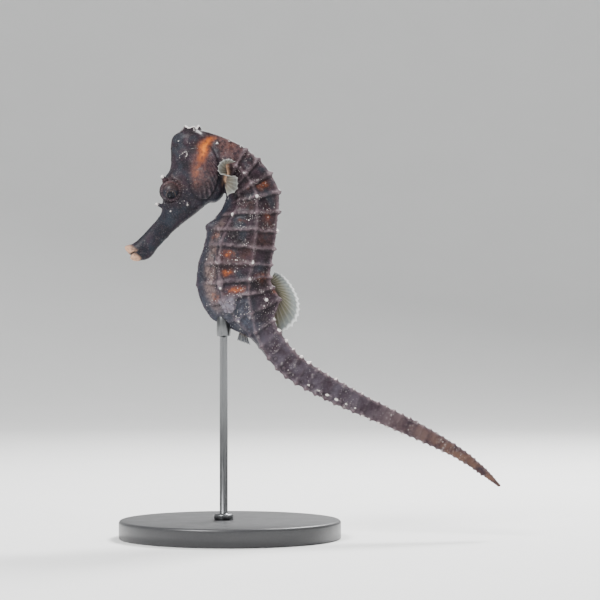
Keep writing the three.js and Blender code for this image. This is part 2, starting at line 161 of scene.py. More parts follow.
SUPERIOR, LATERAL, INFERIOR, KEEL = 0, 1, 2, 3
CORNERS = 7  # ridges round the body, from the right of the back down and up the left side


def corners(ring):
    """The ridges' corners at each ring number, as seven pairs (height, side)."""
    right = [superior_ridge(ring), lateral_ridge(ring), inferior_ridge(ring)]
    bottom = (keel(ring)[0], 0 * ring)
    left = [(height, -side) for height, side in reversed(right)]
    return np.array([*right, bottom, *left])


def body_frame(ring):
    """The ring's middle, and the directions towards the back and towards the tail, in the X-Z plane."""
    x, z, lean = spine(ring)
    c, s = np.cos(np.radians(lean)), np.sin(np.radians(lean))
    return points_of(x, z), points_of(c, s), points_of(s, -c)


def body_point(ring, height, side=0):
    middle, back, _ = body_frame(ring)
    x, z = (middle + height[:, None] * back).T
    return points_of(x, side, z)


def section(ring, around):
    """A point of the body's base surface; around counts the ridges, with the plates between them."""
    corner = corners(ring)
    i = np.floor(around).astype(int) % CORNERS
    t = around - np.floor(around)
    here = np.arange(len(ring))
    height, side = corner[i, :, here].T * (1 - t) + corner[(i + 1) % CORNERS, :, here].T * t
    return body_point(ring, height, side)


def body_coordinates(points):
    """Each point's ring number, and its place round the section, in ridges."""
    places = np.linspace(FIRST_RING, TAIL_TIP, 4 * (TAIL_TIP - FIRST_RING) + 1)
    middles, _, _ = body_frame(places)
    flat = points[:, [0, 2]]
    ring = np.empty(len(points))
    for start in range(0, len(points), CHUNK):
        part = flat[start : start + CHUNK]
        gap = ((part[:, None] - middles) ** 2).sum(axis=-1)
        ring[start : start + CHUNK] = places[gap.argmin(axis=1)]

    def off_plane(at):
        middle, _, tailward = body_frame(at)
        return ((flat - middle) * tailward).sum(axis=-1)

    for _ in range(5):
        error = off_plane(ring)
        slope = (off_plane(ring + RING_STEP) - error) / RING_STEP
        ring = ring - np.clip(error / np.minimum(slope, -0.3), -0.6, 0.6)
        ring = np.clip(ring, FIRST_RING, TAIL_TIP)
    middle, back, _ = body_frame(ring)
    height = ((flat - middle) * back).sum(axis=-1)
    corner = corners(ring)
    _, around = along_line(height, points[:, 1], [*corner, corner[0]])
    return ring, around % CORNERS


# ---- the head's own coordinates

HEAD_X = -15.8
HEAD_Z = 93.6
HEAD_PITCH = math.radians(51)

# Distance forward, then the top, the bottom, the height where it is widest, and half the width.
HEAD_KNOTS = [
    [-18.3, 3.4, -1.5, 1.2, 1.6], [-17, 5.2, -3.5, 0.8, 2.6], [-15.5, 7, -5.5, 0.3, 3.5],
    [-13.5, 8.6, -7.5, -0.8, 4.2], [-11.5, 8.9, -9, -2, 4.6], [-9.7, 8.1, -10.4, -3, 4.8],
    [-7.9, 6.6, -11.5, -3.7, 4.8], [-5.4, 4.6, -11.3, -4, 4.6], [-3.9, 4, -9.9, -3.9, 4.4],
    [-1.5, 3.7, -9.3, -3.7, 4], [0.7, 2.6, -8.85, -3.5, 3.5], [4, -0.2, -8, -3.7, 2.75],
    [6.6, -1.6, -7.4, -4.2, 2.2], [11, -1.6, -6.95, -4.2, 1.8], [14.5, -1.35, -6.75, -4, 1.75],
    [17.4, -0.8, -6.8, -3.7, 1.9], [19.1, 0.25, -5.9, -3, 1.9], [19.8, 0.3, -5.2, -2.6, 1.6],
    [20.3, -1.7, -4.8, -2.9, 1.3], [21, -2.4, -3.6, -2.9, 0.6],
]
head_shape = through(HEAD_KNOTS)
HEAD_BACK, HEAD_FRONT = HEAD_KNOTS[0][0], HEAD_KNOTS[-1][0]


def head_point(forward, height, side):
    """The row-frame point at a distance forward along the snout, a height and a side."""
    c, s = math.cos(HEAD_PITCH), math.sin(HEAD_PITCH)
    return points_of(HEAD_X - forward * c - height * s, side, HEAD_Z - forward * s + height * c)


def head_coordinates(points):
    """Each point's distance forward along the snout and height, from the eyes' axis."""
    c, s = math.cos(HEAD_PITCH), math.sin(HEAD_PITCH)
    x, z = points[:, 0] - HEAD_X, points[:, 2] - HEAD_Z
    return -x * c - z * s, -x * s + z * c


# ---- meshes from arrays


def placed(name, data):
    """An object made from its data and put in the scene."""
    made = bpy.data.objects.new(name, data)
    bpy.context.scene.collection.objects.link(made)
    return made


def mesh_object(name, points, faces):
    """A smooth-shaded mesh object from points in millimetres."""
    mesh = bpy.data.meshes.new(name)
    mesh.from_pydata((np.asarray(points) * MM).tolist(), [], faces)
    mesh.validate()
    mesh.shade_smooth()
    return placed(name, mesh)


def grid_faces(rows, columns):
    """Quads over a grid of points, row after row, with each row's last point joined to its first."""
    return [
        (i * columns + j, i * columns + k, (i + 1) * columns + k, (i + 1) * columns + j)
        for i in range(rows - 1)
        for j, k in zip(range(columns), [*range(1, columns), 0])
    ]


def closed_loft(loops):
    """Points and faces of a skin over loops (rows, columns, 3), closed by a face at each end."""
    rows, columns, _ = loops.shape
    faces = grid_faces(rows, columns)
    faces.append(tuple(reversed(range(columns))))
    faces.append(tuple((rows - 1) * columns + j for j in range(columns)))
    return loops.reshape(-1, 3), faces


def ellipsoid(centre, radii, rows=24):
    """Points and faces of an ellipsoid in the head's frame: radii along the snout, up and to the side."""
    polar = np.linspace(0.02, math.pi - 0.02, rows)[:, None]
    turn = turns(2 * rows)
    return closed_loft(head_point(
        centre[0] + radii[0] * np.cos(polar),
        centre[1] + radii[1] * np.sin(polar) * np.cos(turn),
        centre[2] + radii[2] * np.sin(polar) * np.sin(turn),
    ))


def spike(root, tip, radius):
    """Points and faces of a blunt spine in the head's frame."""
    root, tip = head_point(*root), head_point(*tip)
    along = (tip - root) / np.linalg.norm(tip - root)
    across = np.cross(along, (0, 0, 1))
    across /= np.linalg.norm(across)
    turn = turns(12)[:, None]
    circle = np.cos(turn) * across + np.sin(turn) * np.cross(along, across)
    loops = [root + (tip - root) * share + circle * radius * width for share, width in SPIKE_PROFILE]
    return closed_loft(np.array(loops))


# ---- the skin's base shape


def body_base():
    """The body without its ring detail."""
    stations = np.linspace(FIRST_RING, TAIL_TIP, 6 * (TAIL_TIP - FIRST_RING) + 1)
    steps = 10 * CORNERS
    around = np.linspace(0, CORNERS, steps, endpoint=False)
    rings, places = np.meshgrid(stations, around, indexing="ij")
    points = section(rings.ravel(), places.ravel())
    return closed_loft(points.reshape(len(stations), steps, 3))


def head_base():
    """The head and snout, with no spines, eyes or cheeks."""
    forward = np.linspace(HEAD_BACK, HEAD_FRONT, 110)[:, None]
    turn = turns(64)
    top, bottom, level, half = head_shape(forward)
    reach = np.where(np.cos(turn) > 0, top - level, level - bottom)
    return closed_loft(head_point(forward, level + reach * np.cos(turn), half * np.sin(turn)))


SPIKE_PROFILE = ((-0.3, 1.3), (0, 1), (0.5, 0.75), (0.85, 0.65), (1, 0.45))  # share of the way up, width
CROWN_X = -10.45
CROWN_POINTS = 5
CROWN_SIDE = 0.85
CROWN_RIM = 110.95
CROWN_RISE = 0.7
crown_shape = through([
    # Share of the way up and into the cup, then height, radius, and how far its points rise.
    [0, 104.5, 4.6, 0], [0.25, 107.2, 4.65, 0.05], [0.42, 108.9, 4.05, 0.15], [0.54, 109.8, 3, 0.3],
    [0.64, 110.4, 2.3, 0.45], [0.72, CROWN_RIM, 1.7, CROWN_RISE], [0.78, CROWN_RIM, 1.4, CROWN_RISE],
    [0.88, 110.3, 1, 0.35], [1, 109.6, 0.4, 0],
])


def crown_point(turn):
    """1 on the crown's points and the ridges below them, and -1 between; one point faces backwards."""
    step = 2 * math.pi / CROWN_POINTS
    return 2 * bell((turn + step / 2) % step - step / 2, 0.38) - 1


def crown_lift(turn):
    """How far the rim rises at a place round the crown, as a share of the highest point's rise."""
    return crown_point(turn) * (1 - 0.8 * np.sin(turn) ** 2)


def crown_base():
    """Five blunt points joined by low walls round a shallow cup, each with a ridge running down."""
    turn = turns(120)
    height, radius, rise = crown_shape(np.linspace(0, 1, 44)[:, None])
    reach = radius + 0.6 * rise * crown_point(turn)
    along = CROWN_X + reach * np.cos(turn)
    side = CROWN_SIDE * reach * np.sin(turn)
    return closed_loft(points_of(along, side, height + rise * crown_lift(turn)))


# Tips of the head's spines, as distance forward and height from the eyes' axis.
BROW_TIP, CHEEK_TIP, NOSE_TIP = (-1.6, 4.4), (0, -5.85), (5.15, 1)


def base_parts():
    """Every part of the base shape, as (points, faces)."""
    nose_spine = spike((4.4, -1.5, 0), (5.1, 0.9, 0), 0.75)
    nose_tip = ellipsoid((*NOSE_TIP, 0), (0.42, 0.42, 0.42), 8)
    parts = [body_base(), head_base(), crown_base(), nose_spine, nose_tip]
    for side in (-1, 1):
        cheek = ellipsoid((-7.8, -4.3, 2.2 * side), (5.7, 4.3, 3.2))
        eye_turret = ellipsoid((0, 0, 2 * side), (3.15, 3.15, 2.3))
        brow_spine = spike((-1.1, 2.6, 2.2 * side), (-1.55, 4.3, 2.6 * side), 0.85)
        brow_tip = ellipsoid((*BROW_TIP, 2.6 * side), (0.45, 0.45, 0.45), 8)
        cheek_spine = spike((-0.3, -5.2, 2.9 * side), (*CHEEK_TIP, 3.9 * side), 0.7)
        parts += [cheek, eye_turret, brow_spine, brow_tip, cheek_spine]
    return parts


def remeshed(parts):
    """The union of closed parts as one even mesh: its points in millimetres and its quads."""
    points, faces = [], []
    for part_points, part_faces in parts:
        first = sum(len(p) for p in points)
        points.append(part_points)
        faces += [tuple(first + i for i in face) for face in part_faces]
    rough = mesh_object("rough_skin", np.concatenate(points), faces)
    voxels = rough.modifiers.new("voxels", "REMESH")
    voxels.mode = "VOXEL"
    voxels.voxel_size = VOXEL * MM
    voxels.adaptivity = 0
    even = bpy.data.meshes.new_from_object(rough.evaluated_get(bpy.context.evaluated_depsgraph_get()))
    points = np.empty(len(even.vertices) * 3)
    even.vertices.foreach_get("co", points)
    quads = [tuple(face.vertices) for face in even.polygons]
    bpy.data.objects.remove(rough)
    bpy.data.meshes.remove(even)
    return points.reshape(-1, 3) / MM, quads


def summed(index, values, count):
    """The sum of the rows of values that have each index."""
    return points_of(*(np.bincount(index, column, count) for column in values.T))


class Surface:
    """The skin's points with what is needed to smooth and push them."""

    def __init__(self, points, quads):
        self.points = points
        self.quads = quads
        self.corners = np.array(quads)
        pairs = np.concatenate([self.corners[:, [i, (i + 1) % 4]] for i in range(4)])
        self.starts, self.ends = np.concatenate([pairs, pairs[:, ::-1]]).T
        self.links = np.bincount(self.starts, minlength=len(points))[:, None]

    def pull(self):
        """How far each point lies from the mean of its neighbours."""
        mean = summed(self.starts, self.points[self.ends], len(self.points)) / self.links
        return mean - self.points

    def smooth(self, times, strength, back=1.02):
        """Moves each point towards its neighbours, and then back by a share, so that it keeps its size."""
        for _ in range(times):
            self.points = self.points + strength[:, None] * self.pull()
            self.points = self.points - back * strength[:, None] * self.pull()

    def normals(self):
        a, b, c, d = (self.points[self.corners[:, i]] for i in range(4))
        facing = np.cross(c - a, d - b)
        total = sum(summed(self.corners[:, i], facing, len(self.points)) for i in range(4))
        return total / np.maximum(np.linalg.norm(total, axis=1, keepdims=True), TINY)

    def push(self, distance):
        self.points = self.points + distance[:, None] * self.normals()


# ---- noise and scattered bumps

LATTICE = 32


def noise(points, size, seed):
    """Smooth noise from -1 to 1 with lumps about size across, from a lattice of random values."""
    lattice = np.random.default_rng(SEED + seed).uniform(-1, 1, (LATTICE,) * 3)
    at = points / size + 1000
    low = np.floor(at).astype(int)
    t = at - low
    t = t * t * (3 - 2 * t)
    total = 0
    for corner in np.ndindex(2, 2, 2):
        i, j, k = ((low + corner) % LATTICE).T
        total = total + np.where(corner, t, 1 - t).prod(axis=1) * lattice[i, j, k]
    return total


def pimples(points, cell, radius, share, seed):
    """Round bumps, 1 at their middles, in a share of the cells of a cubic lattice."""
    random = np.random.default_rng(SEED + seed)
    middles = random.uniform(0.15, 0.85, (LATTICE,) * 3 + (3,))
    sizes = random.uniform(0.5, 1, (LATTICE,) * 3) * (random.uniform(size=(LATTICE,) * 3) < share)
    low = np.floor(points / cell).astype(int)
    bump = np.zeros(len(points))
    for step in np.ndindex(3, 3, 3):
        box = low + step - np.array((1, 1, 1))
        i, j, k = (box % LATTICE).T
        gap = np.linalg.norm((box + middles[i, j, k]) * cell - points, axis=1)
        bump = np.maximum(bump, sizes[i, j, k] * bell(gap, radius))
    return bump


def wrinkles(points, size, seed):
    """Noise of two sizes, the finer one weaker."""
    return 0.6 * noise(points, size, seed) + 0.4 * noise(points, 0.7, seed + 1)


# ---- relief of the body

RELIEF = np.random.default_rng(SEED)
KNOB_SIZE = RELIEF.uniform(0.6, 1, (TAIL_TIP + 1, 4))  # for each ring and kind of ridge
# How white each knob's tip is: partly its own white, partly painted highlight.
KNOB_WHITE = RELIEF.uniform(0, 1, (TAIL_TIP + 1, 4)) ** 3
KNOB_SHIFT = RELIEF.uniform(-0.3, 0.6, (TAIL_TIP + 1, 4))
KNOB_SIZE[:TRUNK_RINGS, SUPERIOR] += 0.3
KNOB_SIZE[3:7, SUPERIOR] += 0.35
KNOB_SIZE[TRUNK_RINGS:, SUPERIOR] += 0.45
KNOB_SIZE[18:, LATERAL] += 0.3
KNOB_WHITE[:TRUNK_RINGS, SUPERIOR] += 0.3
KNOB_WHITE[12:18, LATERAL] *= 0.2
KNOB_WHITE[18:32, LATERAL] += 0.75
KNOB_WHITE[12:36, SUPERIOR] += 0.75
KNOB_WHITE[:, KEEL] *= 0.2
KNOB_WHITE[9, INFERIOR] = 0.1
for number, size, white in ((3, 1.1, 0.3), (4, 1.4, 0.9), (8, 1.2, 0.9), (9, 1.1, 0.6)):
    KNOB_SIZE[number, LATERAL] = size
    KNOB_WHITE[number, LATERAL] = white

# How far the relief's parts rise or sink at full size.
PLATE_SINK = 0.3
RING_RISE = 0.12
RING_SHADE = 0.1
KNOB_RISE = 0.5
MOAT_SINK = 0.12
PIMPLE_RISE = 0.16
WRINKLE_RISE = 0.1

LAST_RINGS = 11.9  # behind this ring the lower ridges have run together

# Lone white bumps: ring number, place round the section, size, radius.
LONE_KNOBS = [
    (10.64, 0.42, 1.6, 0.6), (8.43, 1.5, 0.6, 0.4), (1.3, 0.9, 0.5, 0.4), (5.6, 0.45, 0.4, 0.4),
    (0.55, 0.05, 0.6, 0.5), (-0.3, 0.05, 0.5, 0.5), (1.5, 0, 0.6, 0.4),
]
KEEL_POINTS = [(5.95, 2.3, 1.8), (9, 0.9, 1)]  # ring number, size, radius

# Skin flaps that hang from the ridges: ring number and place of the tip, rise, half width, length, white.
FLAPS = [
    (6.85, 2.1, 0.5, 0.9, 2, 0.3), (8.05, 2.05, 0.8, 1.2, 2.6, 0.55), (9.35, 2, 0.8, 1.1, 3.8, 0.9),
    (10.6, 1.95, 1.2, 2.6, 4.6, 0.3), (11.15, 1.9, 0.8, 0.7, 2, 0.8), (11.25, 1.2, 0.6, 0.6, 1.6, 0.7),
]

# Orange on the plates: ring number, place round the section, half size across and along, strength.
ORANGE_SPOTS = [
    (-0.1, 0.35, 1.3, 1, 0.2), (3.4, 0.55, 1.3, 0.9, 0.65), (3.05, 1.3, 0.8, 0.6, 0.3),
    (5.1, 0.5, 0.7, 1.3, 0.45), (5.5, 1.55, 1, 0.5, 0.15), (6.45, 2.45, 1, 0.75, 0.6),
    (7.45, 1.75, 1.15, 0.75, 0.95), (8.5, 1.75, 1.15, 0.85, 1), (8.9, 0.35, 1.5, 1, 0.5),
    (9.55, 1.5, 2, 0.75, 1), (9.8, 2.35, 1, 1.1, 0.85), (10.27, 0, 0.7, 0.7, 0.4),
]


class BodyPlaces:
    """Where points lie among the body's rings and ridges, with gaps in millimetres."""

    def __init__(self, points):
        self.points = points
        self.ring, around = body_coordinates(points)
        here = np.arange(len(points))
        corner = corners(self.ring)
        low = np.floor(around).astype(int) % CORNERS
        self.width = np.linalg.norm(corner[(low + 1) % CORNERS, :, here] - corner[low, :, here], axis=1)
        two_steps = section(self.ring + RING_STEP, around) - section(self.ring - RING_STEP, around)
        self.spacing = np.linalg.norm(two_steps, axis=-1) / (2 * RING_STEP)
        self.fold = KEEL - np.abs(KEEL - around)  # the same on both sides, -1 on the middle of the back
        self.number = np.clip(np.round(self.ring), 0, TAIL_TIP).astype(int)
        self.kind = np.clip(np.round(self.fold), SUPERIOR, KEEL).astype(int)
        self.size = np.where(self.ring < TRUNK_RINGS, 1, superior_ridge(self.ring)[0] / FULL_TAIL)
        self.size = np.clip(self.size, 0, 1)
        self.tail = ramp(LAST_RINGS - 0.5, LAST_RINGS + 0.5, self.ring)
        ends = 1 - ramp(TAIL_TIP - 2, TAIL_TIP - 0.5, self.ring)
        self.there = ramp(0.2, 1.2, self.ring) * ends
        self.ring_gap = (self.ring - self.number) * self.spacing
        self.ridge_gap = np.abs(self.fold - self.kind) * self.width
        self.ridged = self.there * np.where(self.kind >= INFERIOR, 1 - self.tail, 1)
        self.belly = ramp(2.35, 2.8, self.fold) * (1 - self.tail)

    def offset(self, ring, fold):
        """How far points lie towards the tail and down the side from a place."""
        return (self.ring - ring) * self.spacing, (self.fold - fold) * self.width

    def spot(self, ring, fold, radius):
        """A round spot, 1 at its middle, at a place given by ring number and fold."""
        return bell(np.hypot(*self.offset(ring, fold)), radius)


def ring_lines(at):
    """The raised rings, which end sharply towards the tail like the edges of plates, and their shade."""
    gap = at.ring_gap + (0.3 * noise(at.points, 2.2, 6) + 0.2 * noise(at.points, 1, 14)) * at.size
    line = bell(gap, np.where(gap < 0, 0.25 + 0.45 * at.size, 0.14 + 0.16 * at.size))
    shade = bell(gap - 0.6 * at.size, 0.35 * at.size + 0.05)
    throat = ramp(1.2, 2, at.fold) * (1 - ramp(3, 5.5, at.ring))
    loose = ramp(9.9, 10.6, at.ring) * (1 - at.tail) * ramp(0.3, 1, at.fold)
    there = at.there * (1 - 0.8 * at.belly) * (1 - 0.85 * throat) * (1 - 0.6 * loose)
    return line * there, shade * there * (1 - 0.8 * at.tail)


def ridge_knobs(at):
    """Knobs where rings meet ridges, how white their tips are (partly their own white, partly painted
    highlight), and moats round some of them.
    """
    shift = np.where((at.number > 12) & (at.number < 24) & (at.kind == LATERAL), 0.2, 0)
    across = np.abs(at.fold - at.kind + shift) * at.width
    gap = np.hypot(at.ring_gap - 2 * shift * at.spacing, across)
    size = KNOB_SIZE[at.number, at.kind] * np.where(at.kind == KEEL, 0.4, 1)
    knob = size * bell(gap, 0.5 * at.size + 0.14) * at.ridged
    streak = np.hypot((at.ring_gap + KNOB_SHIFT[at.number, at.kind] * at.size) / 1.8, across)
    tip = KNOB_WHITE[at.number, at.kind] * bell(streak, 0.22 * at.size + 0.08) * at.ridged
    edge = at.tail * (at.kind <= LATERAL) * bell(at.ridge_gap, 0.7 * at.size + 0.1) * at.ridged
    knob = np.maximum(knob, 1.2 * edge * bell(at.ring_gap, 0.6 * at.size + 0.15))
    moat = bell(gap - 0.8 * size * at.size, 0.2) * (shift > 0) * (1 - ramp(17, 21, at.ring))
    for ring, size, radius in KEEL_POINTS:
        along, across = at.offset(ring, KEEL)
        along = np.where(along > 0, 2.2 * along, along)
        knob = np.maximum(knob, size * bell(np.hypot(along, across), radius))
    for ring, fold, size, radius in LONE_KNOBS:
        spot = at.spot(ring, fold, radius)
        knob = np.maximum(knob, size * spot)
        tip = np.maximum(tip, min(size, 1) * spot**1.5)
    return knob, tip, moat


def skin_flaps(at):
    """Soft tongues with rounded free ends and fine ribs, the white of their tips, and the shade below."""
    flap, tip, shade = 0, 0, 0
    for ring, fold, rise, half, length, white in FLAPS:
        along, across = at.offset(ring, fold)
        across = across / (half * (1 - 0.45 * np.clip(1 + along / length, 0, 1)))
        along = along + 0.4 * half * across**2
        reach = np.clip(1 + along / length, 0, 1) * (1 - ramp(-0.1, 0.3, along))
        ribs = 1 + 0.2 * np.cos(7 * across) * ramp(-length, -0.5 * length, along)
        flap = np.maximum(flap, rise * reach * ribs * (1 - ramp(0.7, 1.3, np.abs(across))))
        tip = np.maximum(tip, white * bell(along + 0.3, 0.4) * bell(across, 0.45))
        shade = np.maximum(shade, bell(along - 0.35, 0.25) * bell(across, 0.8))
    return flap, tip, shade


def orange_spots(at):
    """Orange patches, longer across the plates than along the body, with ragged outlines."""
    ragged = 0.5 * noise(at.points, 1.2, 9)
    broken = 0.6 + 0.9 * noise(at.points, 0.7, 16)
    orange = 0
    for ring, fold, half, tall, strength in ORANGE_SPOTS:
        along, across = at.offset(ring, fold)
        gap = np.hypot((along + ragged) / tall, (across - ragged) / half)
        orange = np.maximum(orange, strength * bell(gap, 1))
    return 0.6 * np.clip(orange * broken, 0, 1)


def body_relief(points):
    """How far the ringed body's surface is pushed out, and masks for its colours."""
    at = BodyPlaces(points)
    flap, flap_tip, flap_shade = skin_flaps(at)
    covered = ramp(0.1, 0.5, flap)
    line, shade = (value * (1 - covered) for value in ring_lines(at))
    ridge = bell(at.ridge_gap, 0.45 * at.size + 0.1) * at.ridged * (1 - covered)
    knob, tip, moat = ridge_knobs(at)
    rough = pimples(points, 0.8, 0.24, 0.6, 7) * (1 - 0.6 * at.belly)
    rough = rough * (0.35 + 0.65 * np.maximum(line, ridge))

    sunk = (1 - line) * (1 - 0.6 * ridge) * at.there * (1 - 0.6 * at.tail)
    push = at.size * (RING_RISE * (line + ridge) - RING_SHADE * shade - PLATE_SINK * sunk)
    push += KNOB_RISE * knob * (0.35 + 0.65 * at.size) - MOAT_SINK * moat + flap
    push += PIMPLE_RISE * rough * at.size * at.there
    push += WRINKLE_RISE * at.size * wrinkles(points, 1.4, 1) * (1 - 0.5 * at.belly)

    orange = orange_spots(at) * (1 - line)
    crest = ridge * (at.kind == SUPERIOR)
    broken = 0.65 + 0.5 * noise(points, 1.7, 13)
    # Pale raised rings, ridges and knobs: partly their own colour, partly painted highlight on the raised
    # edges.
    tone = 0.9 * line * broken * (1 - 0.88 * at.tail) + 0.4 * (ridge + crest)
    tone = tone + 0.4 * np.clip(knob, 0, 1) * (at.fold < 2.6)
    clusters = ramp(-0.2, 0.4, noise(points, 2.4, 12))
    band = np.maximum(0.6 * bell(at.ring_gap, 1.1), bell(at.fold - 2.45, 0.25))
    band = np.maximum(band, 0.9 * bell(at.fold - 1.5, 0.3)) * (1 - at.tail)
    warm = bell(at.ring - 5.5, 3.5) * (1 - at.belly) * ramp(-0.3, 0.6, noise(points, 5, 10))
    low_trunk = ramp(4.5, 6.5, at.ring) * (1 - ramp(9.5, 11, at.ring))
    foot = bell(at.ring - 11, 1.6) * ramp(0.4, 1.5, at.fold) * (1 - 0.4 * at.belly)
    return push, {
        # Pale rings and ridges, partly painted highlight.
        "ridge": np.clip(tone + 0.8 * covered, 0, 1),
        "flap": covered * ramp(9, 9.6, at.ring),
        "rust": 0.55 * warm,
        "cool": np.maximum(foot, 0.8 * at.spot(8.15, 0.6, 1.5)),
        # White tips of knobs and flaps; on the knobs partly painted highlight.
        "tip": np.clip(np.maximum(1.2 * tip, flap_tip), 0, 1),
        "belly": at.belly,
        "nape": bell(at.ring + 0.6, 1.7) * ramp(1.6, 0.9, at.fold),
        "cream": bell(at.fold - 2.45, 0.22) * (0.6 + 0.6 * noise(points, 2, 15)) * low_trunk,
        # White specks, partly painted glints.
        "speckled": np.clip((0.25 + band) * (0.1 + 1.1 * clusters) + 3 * orange, 0, 1),
        "pimple": rough * (0.2 + 0.8 * clusters),
        "orange": orange,
        # Painted shade: black in the moats round knobs and below the ring edges and the flaps' free ends.
        "groove": np.clip(0.6 * moat + 0.45 * np.maximum(shade, flap_shade), 0, 1),
        "tail": ramp(10.5, 13.5, at.ring),
        "tail_end": ramp(20, 39, at.ring),
    }


# ---- relief of the head

GILL_X, GILL_Z = -7.15, 98.8  # middle of the gill cover
GILL_LONG, GILL_TALL = 4.25, 7.7
GILL_STRIPES = 64  # in a whole turn
EYE_FOLDS = 26
EYE_OPENING = 2.05
LID_OVER = 0.14  # how far the lids' rim lies over the eyeball, and the skin inside them lies under it
SKIN_UNDER = 0.45
ORBIT = 2.95  # radius of the groove round the eye's turret
MOUTH_HEIGHT = -2.15
FIN_BASE = [(-1.15, 100.9), (-0.6, 98.6), (-1.3, 95.4)]  # x, z down the pectoral fin's fleshy root

# Bumps on the head: x, z, radius, height.
HEAD_KNOBS = [
    (-3.4, 106.4, 0.5, 0.35), (-1.8, 103.1, 0.42, 0.3), (-13.65, 107.05, 0.3, 0.25),
    (-11.4, 106.6, 0.35, 0.12), (-10.7, 106.3, 0.3, 0.15), (-9.7, 106.5, 0.3, 0.1),
    (-9.9, 104.9, 0.25, 0.15), (-8.8, 104.9, 0.3, 0.15), (-13.3, 90.3, 0.25, 0.15),
    (-15.9, 88.2, 0.28, 0.25), (-17.4, 90.4, 0.3, 0.15), (-12.2, 91, 0.25, 0.15),
    (-10.3, 95.5, 0.25, 0.15), (-14.5, 96.3, 0.25, 0.15), (-15.3, 96.1, 0.25, 0.12),
    (-2.9, 97.9, 0.3, 0.15),
]
SQUIGGLE = [(-13.4, 102.6), (-13.1, 103.4), (-12.4, 103.7), (-11.6, 104.2), (-11.3, 103.2), (-11.9, 102.5)]

# The orange streak down the gill cover: x, z, width, strength.
ORANGE_STREAK = [
    (-4.2, 107.9, 0.6, 0.3), (-5.4, 107.4, 0.8, 0.7), (-6.8, 105.6, 1.2, 1), (-7.1, 103.4, 0.9, 0.85),
    (-8.2, 101.2, 1.1, 0.09), (-9, 98.4, 0.8, 0.16), (-9.2, 96.8, 0.7, 0.08), (-9.3, 95.2, 0.7, 0.02),
]

SPINE_TIPS = [(*BROW_TIP, 1), (*CHEEK_TIP, 0.6), (*NOSE_TIP, 0.9)]  # distance forward, height, white


def orbit_folds(forward, height):
    """The rim, groove and fine radial folds round the eye, and masks for the turret and for painted shade
    in the groove.
    """
    gap = np.hypot(forward, height)
    turn = np.arctan2(height, forward)
    rim = bell(gap - 2.45, 0.34)
    groove = bell(gap - ORBIT, 0.2)
    folds = np.sin(EYE_FOLDS * turn + 1.5 * np.sin(5 * turn)) * bell(gap - 2.6, 0.6)
    push = 0.3 * rim - 0.22 * groove + 0.2 * bell(gap - 3.35, 0.3) + 0.05 * folds
    turret = ramp(ORBIT + 0.25, ORBIT - 0.15, gap)
    return push, turret, 0.6 * groove, np.clip(folds, 0, 1)


def gill_cover(x, z):
    """A low dome with a groove round its lower and rear edge, and fine striations inside that edge; the
    groove also masks painted shade.
    """
    across, up = (x - GILL_X) / GILL_LONG, (z - GILL_Z) / GILL_TALL
    gap = np.hypot(across, up)
    turn = np.arctan2(z - GILL_Z - 7, x - GILL_X + 1)
    rear = ramp(0, 0.6, across) * ramp(1.1, 0.7, up)
    edge = np.clip(ramp(0.1, 0.6, -up) + rear, 0, 1)
    groove = bell((gap - 1) * GILL_LONG, 0.2) * edge
    waver = 0.5 * np.sin(1.3 * z) + 0.4 * np.sin(2.9 * x)
    stripes = np.sin(GILL_STRIPES * turn + waver) * ramp(0.25, 0.7, gap) * ramp(1, 0.93, gap)
    dome = np.clip(1 - gap**2, 0, 1)
    push = 0.3 * dome - 0.26 * groove + 0.12 * bell((gap - 0.9) * GILL_LONG, 0.3) * edge
    push += 0.05 * stripes * ramp(-0.6, 0.2, across)
    return push, dome, groove, np.clip(stripes, 0, 1) * ramp(-0.6, 0.5, across)


def mouth(forward, height):
    """Thick lips at the snout's end, how pale they are, and the slit that runs back along both sides."""
    line = MOUTH_HEIGHT - 0.45 * np.clip(20 - forward, 0, 3)
    slit = bell(height - line, 0.24) * ramp(18.3, 19.3, forward)
    upper = bell(height + 0.8, 1) * bell(forward - 19.3, 0.8)
    lower = bell(height + 3.7, 0.9) * bell(forward - 20.2, 0.9)
    pale = ramp(17.6, 19.3, forward) * ramp(line - 0.3, line + 0.2, height)
    chin = ramp(line, line - 0.5, height) * ramp(-5.4, -4.6, height)
    pale = pale + ramp(18.7, 19.6, forward) * chin
    return 0.22 * upper + 0.2 * lower - 0.5 * slit, np.clip(pale, 0, 1), slit


def head_knobs(x, z):
    """Bumps and a squiggle on the head's sides, and the white of their tips, partly painted glints."""
    squiggle = bell(along_line(x, z, SQUIGGLE)[0], 0.27)
    push, tip = 0.2 * squiggle, 0.45 * squiggle
    for knob_x, knob_z, radius, rise in HEAD_KNOBS:
        knob = bell(np.hypot(x - knob_x, z - knob_z), radius)
        push = push + rise * knob
        tip = np.maximum(tip, min(1, rise / 0.2) * knob**2)
    return push, tip


def near_spines(forward, height, radius):
    """How near points lie to the tips of the head's spines: one array for each, 1 at its tip."""
    return [bell(np.hypot(forward - x, height - z), radius) for x, z, _ in SPINE_TIPS]


def crown_edges(points):
    """How white the crown is along its rim and down its ridges: partly its own white, partly painted
    highlight.
    """
    x, side, z = points.T
    turn = np.arctan2(side / CROWN_SIDE, x - CROWN_X)
    rim = CROWN_RIM + CROWN_RISE * crown_lift(turn)
    ridge = np.clip(crown_point(turn), 0, 1) ** 3 * ramp(108.2, 110, z)
    near = np.hypot(x - CROWN_X, side) < 4
    return near * np.maximum(0.85 * ramp(rim - 0.4, rim - 0.12, z), 0.45 * ridge)


